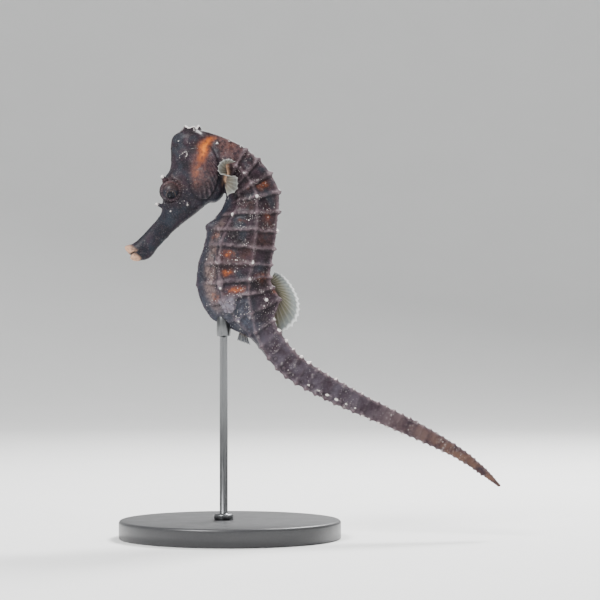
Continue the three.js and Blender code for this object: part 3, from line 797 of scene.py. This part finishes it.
def head_relief(points):
    """How far the head's surface is pushed out, and masks for its colours."""
    x, side, z = points.T
    forward, height = head_coordinates(points)
    beside = ramp(1, 2.2, np.abs(side))
    orbit_push, turret, orbit_shade, folds = orbit_folds(forward, height)
    gill_push, gill, gill_shade, stripes = gill_cover(x, z)
    knob_push, tip = head_knobs(x, z)
    mouth_push, lip, slit = mouth(forward, height)
    fin_root = bell(along_line(x, z, FIN_BASE)[0], 0.6)

    plain = np.clip(1 - lip - turret * beside, 0, 1)
    lid = bell(np.hypot(forward, height), 3.6)
    rough = pimples(points, 0.9, 0.28, 0.4, 8) * plain
    push = beside * (orbit_push + gill_push + knob_push + 0.55 * fin_root) + mouth_push
    push += 0.11 * rough + 0.07 * wrinkles(points, 1.5, 3) * plain

    gap, place = along_line(x, z, [row[:2] for row in ORANGE_STREAK])
    _, _, widths, strengths = zip(*ORANGE_STREAK)
    wide, strong = (np.interp(place, range(len(widths)), row) for row in (widths, strengths))
    above_eye = 0.6 * lid * ramp(-0.5, 1.5, z - HEAD_Z)
    crest = 0.8 * bell(x + 2, 2.5) * ramp(104, 106, z)
    spines = [white * near for near, (_, _, white) in zip(near_spines(forward, height, 0.6), SPINE_TIPS)]
    return push, {
        # White tips of knobs, spines and the crown, partly painted highlight.
        "tip": np.max([tip * beside, crown_edges(points), *spines], axis=0),
        "orange": strong * bell(gap, wide) * beside,
        "lip": lip * (1 - slit),
        # Painted shade: black in the grooves round the gill cover and the eye, and in the mouth slit.
        "groove": np.clip((0.55 * gill_shade + orbit_shade) * beside + slit, 0, 1),
        "ridge": np.clip(0.45 * folds + 0.5 * stripes, 0, 1) * beside,
        "rust": beside * np.maximum(0.6 * bell(gap, 2.4) * gill, above_eye),
        "nape": np.maximum(crest, 0.75 * gill * ramp(93, 98, z) * beside),
        "belly": 0.5 * plain * (1 - gill) * (1 - lid) * ramp(106, 95, z),
        "fin_root": fin_root * beside,
        "pimple": 0.15 * rough,
        "speckled": 0.06 * plain + 0.3 * lid * beside,
    }


def on_body(points):
    """1 on the neck, trunk and tail, and 0 on the head, with a soft step at the gill opening."""
    x, _, z = points.T
    edge = np.interp(z, [82, 92, 97, 111], [-11.6, -1.1, -1.7, -3])
    return ramp(-0.8, 0.8, x - edge)


def seat_eyes(points):
    """Inside the lids the skin runs just under the eyeballs, and its rim lies just over them."""
    from_eye = np.hypot(*head_coordinates(points))
    out = np.abs(points[:, 1])
    ball = EYE_SIDE + np.sqrt(np.clip(EYE_RADIUS**2 - from_eye**2, 0, None))
    lid = ramp(EYE_OPENING - 0.12, EYE_OPENING + 0.12, from_eye)
    side = (ball - SKIN_UNDER) * (1 - lid) + np.maximum(ball + LID_OVER, out) * lid
    near = (from_eye < EYE_RADIUS) & (out > 1.6)
    moved = points.copy()
    moved[near, 1] = (np.sign(points[:, 1]) * side)[near]
    return moved


def store(obj, name, values):
    """Keeps one value for each point of a mesh, for its material."""
    obj.data.attributes.new(name, "FLOAT", "POINT").data.foreach_set("value", values.astype(np.float32))


def keep_sharp(points):
    """How much of the smoothing each point takes: little on the crown and the head's spines."""
    crown = ramp(109.3, 110, points[:, 2])
    sharp = np.max([crown, *near_spines(*head_coordinates(points), 1.2)], axis=0)
    return SMOOTHING * (1 - 0.8 * sharp)


def make_skin():
    surface = Surface(*remeshed(base_parts()))
    surface.smooth(SMOOTH_STEPS, keep_sharp(surface.points))
    body_push, body_masks = body_relief(surface.points)
    head_push, head_masks = head_relief(surface.points)
    body = on_body(surface.points)
    surface.push(body * body_push + (1 - body) * head_push)
    surface.smooth(SMOOTH_STEPS, SMOOTHING * body * body_masks["belly"], BELLY_BACK)
    surface.points = seat_eyes(surface.points)
    skin = mesh_object("skin", surface.points, surface.quads)
    for name in sorted({*body_masks, *head_masks}):
        on_head = 1 if name == "fin_root" else 1 - body
        store(skin, name, body * body_masks.get(name, 0) + on_head * head_masks.get(name, 0))
    skin.data.materials.append(skin_material())
    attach(skin, "root")
    flesh = ("head", "coronet", "neck", "snout", "trunk", "tail")
    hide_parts(*(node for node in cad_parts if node.startswith(flesh)))
    return surface


# ---- materials


class Paint:
    """A Principled material and short ways to add nodes to it, with sizes in millimetres."""

    def __init__(self, name):
        self.material = bpy.data.materials.new(name)
        self.material.use_nodes = True
        self.tree = self.material.node_tree
        self.shader = self.tree.nodes["Principled BSDF"]
        place = self.node("TexCoord", {}, "Object")
        self.place = self.node("VectorMath", {0: place, "Scale": 1 / MM}, operation="SCALE")

    def link(self, value, socket):
        if isinstance(value, bpy.types.NodeSocket):
            self.tree.links.new(value, socket)
        elif isinstance(value, tuple):
            socket.default_value = (*value, 1)[: len(socket.default_value)]
        else:
            socket.default_value = value

    def node(self, kind, inputs, output=0, **settings):
        """One output of a new node. Inputs are values or outputs of other nodes, by name or number."""
        made = self.tree.nodes.new("ShaderNode" + kind)
        for name, value in settings.items():
            setattr(made, name, value)
        for name, value in inputs.items():
            self.link(value, made.inputs[name])
        return made.outputs[output]

    def set(self, **inputs):
        for name, value in inputs.items():
            self.link(value, self.shader.inputs[name.replace("_", " ")])

    def mask(self, name):
        return self.node("Attribute", {}, "Fac", attribute_name=name)

    def math(self, operation, first, second):
        return self.node("Math", {0: first, 1: second}, operation=operation)

    def times(self, first, second):
        return self.math("MULTIPLY", first, second)

    def plus(self, first, second):
        return self.math("ADD", first, second)

    def step(self, value, low, high, start=0, end=1):
        inputs = dict(enumerate((value, low, high, start, end)))
        return self.node("MapRange", inputs, interpolation_type="SMOOTHSTEP")

    def mix(self, share, first, second):
        return self.node("Mix", {"Factor": share, 6: first, 7: second}, 2, data_type="RGBA")

    def over(self, share, colour):
        """Lays a colour over the material's own."""
        self.colour = self.mix(share, self.colour, colour)

    def lumps(self, size, detail=3):
        inputs = {"Vector": self.place, "Scale": 1 / size, "Detail": detail, "Roughness": 0.55}
        return self.node("TexNoise", inputs, "Fac")

    def dots(self, cell, radius, share):
        """Ragged dots of unlike strength, one in a share of the cells."""
        ragged = self.node("TexNoise", {"Vector": self.place, "Scale": 0.5 / radius}, "Color")
        inputs = {0: ragged, 1: (radius,) * 3, 2: self.place}
        shifted = self.node("VectorMath", inputs, operation="MULTIPLY_ADD")
        distance = self.node("TexVoronoi", {"Vector": shifted, "Scale": 1 / cell}, "Distance")
        dot = self.step(distance, 0.6 * radius / cell, 1.2 * radius / cell, 1, 0)
        random = self.node("SeparateColor", {0: distance.node.outputs["Color"]})
        there = self.math("LESS_THAN", random, share)
        return self.times(dot, self.times(there, self.step(random.node.outputs[1], 0, 1, 0.4, 1)))

    def bump(self, height, strength, distance):
        inputs = {"Height": height, "Strength": strength, "Distance": distance * MM}
        self.set(Normal=self.node("Bump", inputs))


DARK = (0.007, 0.005, 0.007)
UMBER = (0.026, 0.015, 0.022)
TEAL = (0.016, 0.021, 0.028)
PINKISH = (0.12, 0.084, 0.099)
# Pale ridges, partly painted highlight.
PALE_RIDGE_AND_HIGHLIGHT = (0.155, 0.112, 0.125)
WHITE = (0.75, 0.7, 0.67)
ORANGE = (0.62, 0.145, 0.013)
RUST = (0.09, 0.036, 0.028)
MAUVE = (0.17, 0.085, 0.078)
AMBER = (0.66, 0.19, 0.025)
SLATE = (0.014, 0.02, 0.031)
CREAM = (0.24, 0.165, 0.145)
LIP = (0.5, 0.3, 0.2)
LIP_DARK = (0.2, 0.12, 0.09)
LAVENDER = (0.14, 0.14, 0.175)
COOL = (0.05, 0.058, 0.08)
TAIL_BROWN = (0.112, 0.059, 0.041)
TAIL_GREY = (0.065, 0.053, 0.069)
ROOT = (0.6, 0.36, 0.22)
# Painted shade in grooves, moats and below edges.
SHADE_BLACK = (0.004, 0.003, 0.005)
IRIS_LOW = (0.014, 0.016, 0.024)
IRIS_HIGH = (0.034, 0.023, 0.024)
IRIS_WRINKLE = (0.09, 0.064, 0.062)
IRIS_DARK = (0.012, 0.009, 0.014)
IRIS_RIM = (0.09, 0.06, 0.044)
PUPIL_BLACK = (0.003, 0.003, 0.005)
# Painted reflection in the pupil.
PUPIL_REFLECTION_BLUE = (0.03, 0.034, 0.05)
OLIVE, BLUE_GREY = (0.14, 0.128, 0.078), (0.2, 0.225, 0.222)
BEIGE, MILKY = (0.19, 0.17, 0.13), (0.2, 0.2, 0.18)
ANAL_INNER, ANAL_OUTER = (0.05, 0.055, 0.07), (0.06, 0.065, 0.08)
FIN_SHADE = (0.06, 0.058, 0.05)
FIN_RAY = (0.3, 0.3, 0.27)
FIN_ROOT = (0.08, 0.055, 0.045)
FIN_RIM = (0.8, 0.81, 0.8)
BASE_DARK, BASE_LIGHT = (0.02, 0.02, 0.022), (0.035, 0.035, 0.038)
STEEL_DARK, STEEL_LIGHT = (0.1, 0.103, 0.107), (0.18, 0.184, 0.188)
BRUSHED = (1, 1, 0.04)  # the steel's grain is stretched along the rod
FLOOR_DARK, FLOOR_LIGHT = (0.74, 0.74, 0.73), (0.78, 0.78, 0.77)
SKY = (0.8, 0.82, 0.85, 1)
SKY_STRENGTH = 0.55

# Colours laid over the skin in this order: mask, strength, colour, and its share where fine noise is low.
SKIN_LAYERS = [
    ("cool", 0.85, COOL, 0.45),
    ("cream", 0.8, CREAM, 0.25),
    ("nape", 0.5, MAUVE, 0.2),
    ("rust", 1, RUST, 0.3),
    # pale rings and ridges, partly painted highlight
    ("ridge", 1, PALE_RIDGE_AND_HIGHLIGHT, 0.35),
    ("flap", 0.7, LAVENDER, 0.2),
]


def skin_material():
    paint = Paint("skin")
    broad, fine, grain = paint.lumps(3.5), paint.lumps(0.9, 4), paint.lumps(0.3)
    orange, speckled = paint.mask("orange"), paint.mask("speckled")

    def layer(name, strength, colour, low, high=1):
        """Lays a colour over where a mask is, broken up by fine noise between low and high."""
        share = paint.times(paint.mask(name), paint.step(fine, 0.36, 0.62, low, high))
        paint.over(paint.times(share, strength), colour)

    paint.colour = paint.mix(paint.step(broad, 0.35, 0.7), DARK, UMBER)
    paint.over(paint.step(paint.lumps(5, 2), 0.5, 0.65, 0, 0.8), TEAL)
    paint.over(paint.step(grain, 0.48, 0.75, 0, 0.32), PINKISH)
    layer("belly", 0.85, SLATE, 0.4)
    tail = paint.mix(paint.mask("tail_end"), TAIL_GREY, TAIL_BROWN)
    tail = paint.mix(paint.step(broad, 0.3, 0.65), UMBER, tail)
    paint.over(paint.times(paint.mask("tail"), 0.85), tail)
    for row in SKIN_LAYERS:
        layer(*row)
    paint.over(paint.times(paint.math("POWER", orange, 0.5), 0.6), RUST)
    layer("orange", 0.9, ORANGE, 0.3)
    paint.over(paint.step(orange, 0.7, 1, 0, 0.6), AMBER)
    layer("pimple", 0.5, WHITE, 0.1, 0.9)
    # White specks, partly painted glints.
    specks = paint.times(paint.dots(0.5, 0.12, 0.6), speckled)
    paint.over(paint.times(specks, 0.85), WHITE)
    paint.over(paint.times(paint.dots(1.3, 0.2, 0.45), speckled), WHITE)
    # White tips of knobs, spines and the crown, partly painted highlight.
    ragged = paint.plus(paint.mask("tip"), paint.step(grain, 0.3, 0.7, -0.35, 0.1))
    paint.over(paint.step(ragged, 0.2, 0.65, 0, 0.9), WHITE)
    layer("fin_root", 0.8, ROOT, 0.6)
    paint.over(paint.mask("lip"), paint.mix(paint.step(fine, 0.3, 0.6), LIP_DARK, LIP))
    # Painted shade, black, in grooves, moats and the mouth slit and below ring edges and flaps.
    paint.over(paint.mask("groove"), SHADE_BLACK)
    paint.set(Base_Color=paint.colour, Roughness=paint.step(fine, 0.3, 0.7, 0.42, 0.62))
    paint.set(Specular_IOR_Level=0.12, Coat_Weight=0.03, Coat_Roughness=0.15)
    paint.bump(paint.plus(paint.lumps(0.35, 4), specks), 0.7, 0.1)
    return paint.material


def eye_material():
    """A dark pupil with painted bluish reflections and a broken rim, in an iris with wrinkles and pale
    specks, browner above.
    """
    paint = Paint("eye")
    fine, pupil = paint.lumps(0.3, 4), paint.mask("pupil")
    uneven = paint.step(paint.lumps(0.7), 0.3, 0.7, -0.3, 0.3)
    up = paint.step(paint.plus(paint.mask("up"), uneven), -0.4, 0.5)
    spread = paint.step(fine, 0.2, 0.8, -2.5, 2.5)
    rays, rings = (
        paint.math("SINE", paint.plus(paint.times(way, count), spread), 0)
        for way, count in ((paint.mask("turn"), 16), (pupil, 14))
    )
    wrinkled = paint.step(paint.plus(rays, rings), 0.2, 1.6, 0, 0.5)
    iris = paint.mix(up, IRIS_LOW, IRIS_HIGH)
    iris = paint.mix(paint.times(wrinkled, up), iris, IRIS_WRINKLE)
    iris = paint.mix(paint.step(fine, 0.5, 0.75, 0, 0.6), iris, IRIS_DARK)
    # The pupil: black, with painted bluish reflections in patches.
    pupil_with_reflections = paint.mix(paint.step(paint.lumps(0.45, 4), 0.52, 0.62, 0, 0.3), PUPIL_BLACK, PUPIL_REFLECTION_BLUE)
    rim = paint.times(paint.step(pupil, 0.8, 1, 0, 0.8), paint.step(fine, 0.4, 0.6))
    paint.colour = paint.mix(rim, iris, IRIS_RIM)
    paint.over(paint.step(pupil, 1, 1.2), iris)
    paint.over(paint.step(pupil, 0.7, 0.95, 1, 0), pupil_with_reflections)
    paint.over(paint.times(paint.dots(0.45, 0.08, 0.4), 0.4), WHITE)
    paint.set(Base_Color=paint.colour, Roughness=0.4)
    paint.set(Specular_IOR_Level=0.12, Coat_Weight=0.05, Coat_Roughness=0.12)
    paint.bump(paint.plus(wrinkled, fine), 0.4, 0.05)
    return paint.material


def fin_material(name, clear, inner, outer, rim):
    """Milky rays in a clearer membrane, dark at the root, with its own outer tone and a pale edge."""
    paint = Paint(name)
    fine, ray, out = paint.lumps(0.8), paint.mask("ray"), paint.mask("out")
    tone = paint.mix(paint.step(out, 0.4, 0.85), inner, outer)
    paint.colour = paint.mix(paint.step(fine, 0.3, 0.7, 0.3, 0), tone, FIN_SHADE)
    paint.over(paint.step(ray, 0.1, 0.8, 0, 0.3), FIN_RAY)
    paint.over(paint.step(out, 0, 0.45, 0.8, 0), FIN_ROOT)
    paint.over(paint.step(out, 0.84, 0.97, 0, rim), FIN_RIM)
    edge = paint.step(out, 0.8, 1, 0, rim)
    see = paint.math("MAXIMUM", paint.step(ray, 0.1, 0.9, clear, clear + 0.12), edge)
    paint.set(Base_Color=paint.colour, Roughness=0.4, Alpha=see, Specular_IOR_Level=0.3)
    return paint.material


def base_material():
    paint = Paint("base_paint")
    grain = paint.lumps(0.6, 4)
    paint.set(Base_Color=paint.mix(grain, BASE_DARK, BASE_LIGHT), Coat_Weight=0.2, Coat_Roughness=0.25)
    paint.set(Roughness=paint.step(paint.lumps(6), 0.3, 0.7, 0.38, 0.43))
    paint.bump(grain, 0.25, 0.05)
    return paint.material


def rod_material():
    paint = Paint("rod_steel")
    along = paint.node("VectorMath", {0: paint.place, 1: BRUSHED}, operation="MULTIPLY")
    brushed = paint.node("TexNoise", {"Vector": along, "Scale": 6}, "Fac")
    paint.set(Base_Color=paint.mix(brushed, STEEL_DARK, STEEL_LIGHT))
    paint.set(Metallic=1, Roughness=paint.step(brushed, 0.3, 0.7, 0.28, 0.42))
    return paint.material


# ---- eyes

EYE_ROWS, EYE_COLUMNS = 60, 96
PUPIL = 1.25
PUPIL_FORWARD, PUPIL_HEIGHT = 0.95, -0.85  # from the middle of the eye
CORNEA_RISE = 0.06


def make_eye(node, side):
    """A ball with a low cornea over the pupil, which is set towards the snout and the throat."""
    polar = np.linspace(0.01, math.pi - 0.01, EYE_ROWS)[:, None]
    turn = turns(EYE_COLUMNS)
    across = EYE_RADIUS * np.sin(polar)
    forward, height = across * np.cos(turn), across * np.sin(turn)
    ahead, above = forward - PUPIL_FORWARD, height - PUPIL_HEIGHT
    off = np.hypot(ahead, above)
    out = EYE_RADIUS * np.cos(polar)
    out = out + CORNEA_RISE * bell(off, 1.2) * (out > 0)
    points, faces = closed_loft(head_point(forward, height, side * (EYE_SIDE + out)))
    if side > 0:
        faces = [tuple(reversed(face)) for face in faces]
    eye = mesh_object("eyeball_" + ("right" if side > 0 else "left"), points, faces)
    store(eye, "pupil", (off / PUPIL).ravel())
    store(eye, "up", (points[:, 2] - HEAD_Z) / EYE_RADIUS)
    store(eye, "turn", np.arctan2(above, ahead).ravel())
    eye.data.materials.append(eye_material())
    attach(eye, "root")
    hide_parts(node)


# ---- fins

DORSAL_RAYS, ANAL_RAYS, PECTORAL_RAYS = 17, 5, 15
RAY_STEPS = 8
FIN_ROWS = 30
RAY_ENDS = 0.06  # how far the membrane's edge lies inside the rays' tips, as a share of their length
MEMBRANE_HALF = 0.05  # half its thickness, to which RAY_HALF is added at a ray's root
RAY_HALF = 0.11
FIN_WAVES = 1.6


def make_fin(name, node, rays, ray_at, across_at, material, ripple=0.0):
    """A thin closed sheet of rays and membrane. ray_at gives the root and tip for shares along the fin."""
    share = np.linspace(0, 1, (rays - 1) * RAY_STEPS + 1)
    turn = 2 * math.pi * share * (rays - 1)
    strength = (0.5 + 0.5 * np.cos(turn)) ** 3
    root, tip = ray_at(share)
    ray = (tip - root) * (1 - RAY_ENDS * (1 - strength))[:, None]
    out = np.linspace(0, 1, FIN_ROWS)
    thick = MEMBRANE_HALF + RAY_HALF * strength[:, None] * (1 - 0.6 * out)
    wave = (ripple * np.sin(2 * math.pi * FIN_WAVES * share) + 0.05 * np.sin(turn))[:, None] * out
    middle = root[:, None] + ray[:, None] * out[:, None]
    across = across_at(share)[:, None]
    front, back = (middle + (wave + half)[..., None] * across for half in (thick, -thick))
    fin = mesh_object(name, *closed_loft(np.concatenate([front, back[:, ::-1]], axis=1)))
    store(fin, "ray", np.repeat(strength, 2 * FIN_ROWS))
    store(fin, "out", np.tile([*out, *out[::-1]], len(share)))
    fin.data.materials.append(material)
    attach(fin, "root")
    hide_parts(node)


def in_profile(length, degrees):
    """A length at an angle above +X, in the X-Z plane."""
    angle = np.radians(degrees)
    return points_of(length * np.cos(angle), 0, length * np.sin(angle))


dorsal_ray = through([
    # Share along the fin, the ring number of its root, its length, and its angle above +X.
    [0, 9, 1.9, 62], [0.12, 9.3, 3.2, 37], [0.25, 9.6, 4.4, 13], [0.4, 10, 5.7, -8],
    [0.58, 10.5, 6.8, -30], [0.74, 11, 7.2, -52], [0.85, 11.35, 6.8, -66], [0.93, 11.65, 6, -74],
    [1, 12.1, 4.6, -76],
])


def dorsal_at(share):
    ring, length, angle = dorsal_ray(share)
    from_body = in_profile(length, angle)
    surface = body_point(ring, superior_ridge(ring)[0] + 0.35)
    return surface - 0.18 * from_body, surface + from_body


pectoral_ray = through([
    # Share down the fin, the root's X, distance from the middle plane and Z, then how far the tip
    # lies from it along X and Z.
    [0, -1.2, 5.1, 100.8, 2.8, 0.5], [0.12, -1.1, 5.2, 100.4, 1.2, 1.5], [0.24, -0.9, 5.2, 99.8, -1, 1.7],
    [0.36, -0.8, 5.2, 99.1, -2.2, 0.8], [0.48, -0.7, 5.1, 98.4, -1.8, -0.4],
    [0.58, -0.7, 5, 97.8, 0.8, -0.4], [0.7, -0.8, 4.7, 97, 2.9, 0.2], [0.8, -0.9, 4.5, 96.3, 3.2, -1.1],
    [0.9, -1, 4.3, 95.6, 2.9, -2.1], [1, -1.2, 4.1, 94.9, 0.7, -2.7],
])
PECTORAL_LENGTH = 3.9


def pectoral_at(side):
    def at(share):
        x, out, z, along, up = pectoral_ray(share)
        reach = points_of(along, side * np.sqrt(PECTORAL_LENGTH**2 - along**2 - up**2), up)
        root = points_of(x, side * out, z)
        return root - (0, side * 0.6, 0), root + reach

    return at


def across_of(ray_at):
    """Unit directions square to a curved fin, from its rays and the way along it."""

    def at(share):
        root, tip = ray_at(share)
        along = np.gradient((root + tip) / 2, axis=0)
        across = np.cross(tip - root, along)
        return across / np.linalg.norm(across, axis=1, keepdims=True)

    return at


def anal_at(share):
    ring = 11.62 + 0.48 * share
    surface = body_point(ring, keel(ring)[0] - 0.35)
    from_body = in_profile(1.8, -105 + 33 * share)
    return surface - 0.35 * from_body, surface + from_body


def sideways(share):
    return np.tile((0.0, 1.0, 0.0), (len(share), 1))


def make_fins():
    yellowish = fin_material("dorsal_fin", 0.88, OLIVE, BLUE_GREY, 0.9)
    bluish = fin_material("anal_fin", 0.8, ANAL_INNER, ANAL_OUTER, 0.3)
    milky = fin_material("pectoral_fin", 0.88, BEIGE, MILKY, 0.12)
    make_fin("dorsal_fin_sheet", "dorsal_fin", DORSAL_RAYS, dorsal_at, sideways, yellowish, 0.25)
    make_fin("anal_fin_sheet", "anal_fin", ANAL_RAYS, anal_at, sideways, bluish)
    for side, at in (("left", pectoral_at(-1)), ("right", pectoral_at(1))):
        node = "pectoral_fin_" + side
        make_fin(node + "_sheet", node, PECTORAL_RAYS, at, across_of(at), milky)


# ---- the stand

AXIS = 0.05  # a turned piece starts this far from its axis
ROD_RADIUS = 1.1
CUP_RADIUS = 1.9
CUP_WALL = 0.35
CUP_GAP = 0.12  # between the cup and the skin
CUP_BOTTOM = 54.5
COLLAR_RADIUS = 2.6
COLLAR_HEIGHT = 1.6
BASE_EDGE = 0.8
SIDES = 96


def round_edge(radius, height, size):
    """A quarter round between the side at a radius and the top at a height, as (radius, height) points."""
    turn = np.linspace(0, math.pi / 2, 7)
    return list(zip(radius - size + size * np.cos(turn), height - size + size * np.sin(turn)))


def box_mm(node):
    """The low and high corners of a node's box, in millimetres."""
    return (np.array(corner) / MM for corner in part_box(node))


def stand_piece(name, node, profile, material):
    """A piece turned round the node's own upright axis; a height may differ round the loop."""
    low, high = box_mm(node)
    x, y, _ = (low + high) / 2
    c, s = np.cos(turns(SIDES)), np.sin(turns(SIDES))
    loops = [points_of(x + radius * c, y + radius * s, height) for radius, height in profile]
    made = mesh_object(name, *closed_loft(np.array(loops)))
    made.data.materials.append(material)
    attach(made, "root")
    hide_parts(node)


def heights_under(surface, x, radius):
    """The heights at which upright lines on a circle first meet the skin."""
    tree = BVHTree.FromPolygons(surface.points.tolist(), surface.quads)
    heights = []
    for turn in turns(SIDES):
        start = Vector((x + radius * math.cos(turn), radius * math.sin(turn), CUP_BOTTOM - 2))
        heights.append(tree.ray_cast(start, Vector((0, 0, 1)))[0].z)
    return np.array(heights)


def make_stand(surface):
    (low, _, _), (high, _, top) = box_mm("stand_base")
    radius = (high - low) / 2
    edge = round_edge(radius, top, BASE_EDGE)
    disc = [(AXIS, 0), (radius - 0.3, 0), (radius, 0.3), *edge, (AXIS, top)]
    stand_piece("stand_disc", "stand_base", disc, base_material())

    (low, _, foot), (high, _, _) = box_mm("stand_rod")
    rim, inner = (heights_under(surface, (low + high) / 2, r) for r in (CUP_RADIUS, CUP_RADIUS - CUP_WALL))
    rod = [
        (AXIS, foot),
        (COLLAR_RADIUS, foot),
        *round_edge(COLLAR_RADIUS, foot + COLLAR_HEIGHT, 0.5),
        (ROD_RADIUS + 0.2, foot + COLLAR_HEIGHT),
        (ROD_RADIUS, foot + COLLAR_HEIGHT + 0.2),
        (ROD_RADIUS, CUP_BOTTOM - 0.3),
        (ROD_RADIUS + 0.3, CUP_BOTTOM),
        (CUP_RADIUS - 0.2, CUP_BOTTOM),
        (CUP_RADIUS, CUP_BOTTOM + 0.2),
        (CUP_RADIUS, rim - 0.3),
        (CUP_RADIUS - 0.1, rim - CUP_GAP),
        (CUP_RADIUS - CUP_WALL, inner - CUP_GAP),
        (AXIS, inner - CUP_GAP),
    ]
    stand_piece("stand_steel", "stand_rod", rod, rod_material())


# ---- floor, lights and camera

VIEW_X = 0.0189
VIEW_Z = 0.0643
CAMERA_DISTANCE = 0.7
VIEW_WIDTH = 0.162
WALL_BEND = 600  # where the floor begins to rise, and the radius of its bend
WALL_REACH, WALL_TOP = 1200, 900


def make_stage():
    """A pale round floor that curves up into a wall behind the camera's widest orbit."""
    bend = np.radians(np.linspace(0, 90, 17))
    reach = np.array([1, *(WALL_BEND * (1 + np.sin(bend))), WALL_REACH])[:, None]
    height = np.array([0, *(WALL_BEND * (1 - np.cos(bend))), WALL_TOP])[:, None]
    turn = turns(SIDES)
    points = points_of(reach * np.cos(turn), reach * np.sin(turn), height)
    floor = mesh_object("floor", points.reshape(-1, 3), grid_faces(len(reach), SIDES))
    paint = Paint("floor")
    paint.set(Base_Color=paint.mix(paint.lumps(40), FLOOR_DARK, FLOOR_LIGHT), Roughness=0.75)
    floor.data.materials.append(paint.material)


def aim(obj, place, target):
    obj.location = place
    direction = Vector(target) - Vector(place)
    obj.rotation_euler = direction.to_track_quat("-Z", "Y").to_euler()


def make_light(name, place, target, size, power):
    data = bpy.data.lights.new(name, "AREA")
    data.size, data.energy = size, power
    aim(placed(name, data), place, target)


def make_lights():
    target = (0.01, 0, 0.07)
    make_light("key", (-0.3, -0.35, 0.55), target, 0.25, 7.5)
    make_light("fill", (0.5, -0.5, 0.2), target, 0.5, 0.5)
    make_light("rim", (0.2, 0.3, 0.45), target, 0.2, 9)
    world = bpy.data.worlds.new("world")
    world.use_nodes = True
    background = world.node_tree.nodes["Background"]
    background.inputs["Color"].default_value = SKY
    background.inputs["Strength"].default_value = SKY_STRENGTH
    bpy.context.scene.world = world


def make_camera():
    data = bpy.data.cameras.new("camera")
    data.lens = data.sensor_width * CAMERA_DISTANCE / VIEW_WIDTH
    camera = placed("camera", data)
    aim(camera, (VIEW_X, -CAMERA_DISTANCE, VIEW_Z), (VIEW_X, 0, VIEW_Z))
    bpy.context.scene.camera = camera


# ---- the whole

skin_surface = make_skin()
make_eye("eye_left", -1)
make_eye("eye_right", 1)
make_fins()
make_stand(skin_surface)
make_stage()
make_lights()
make_camera()
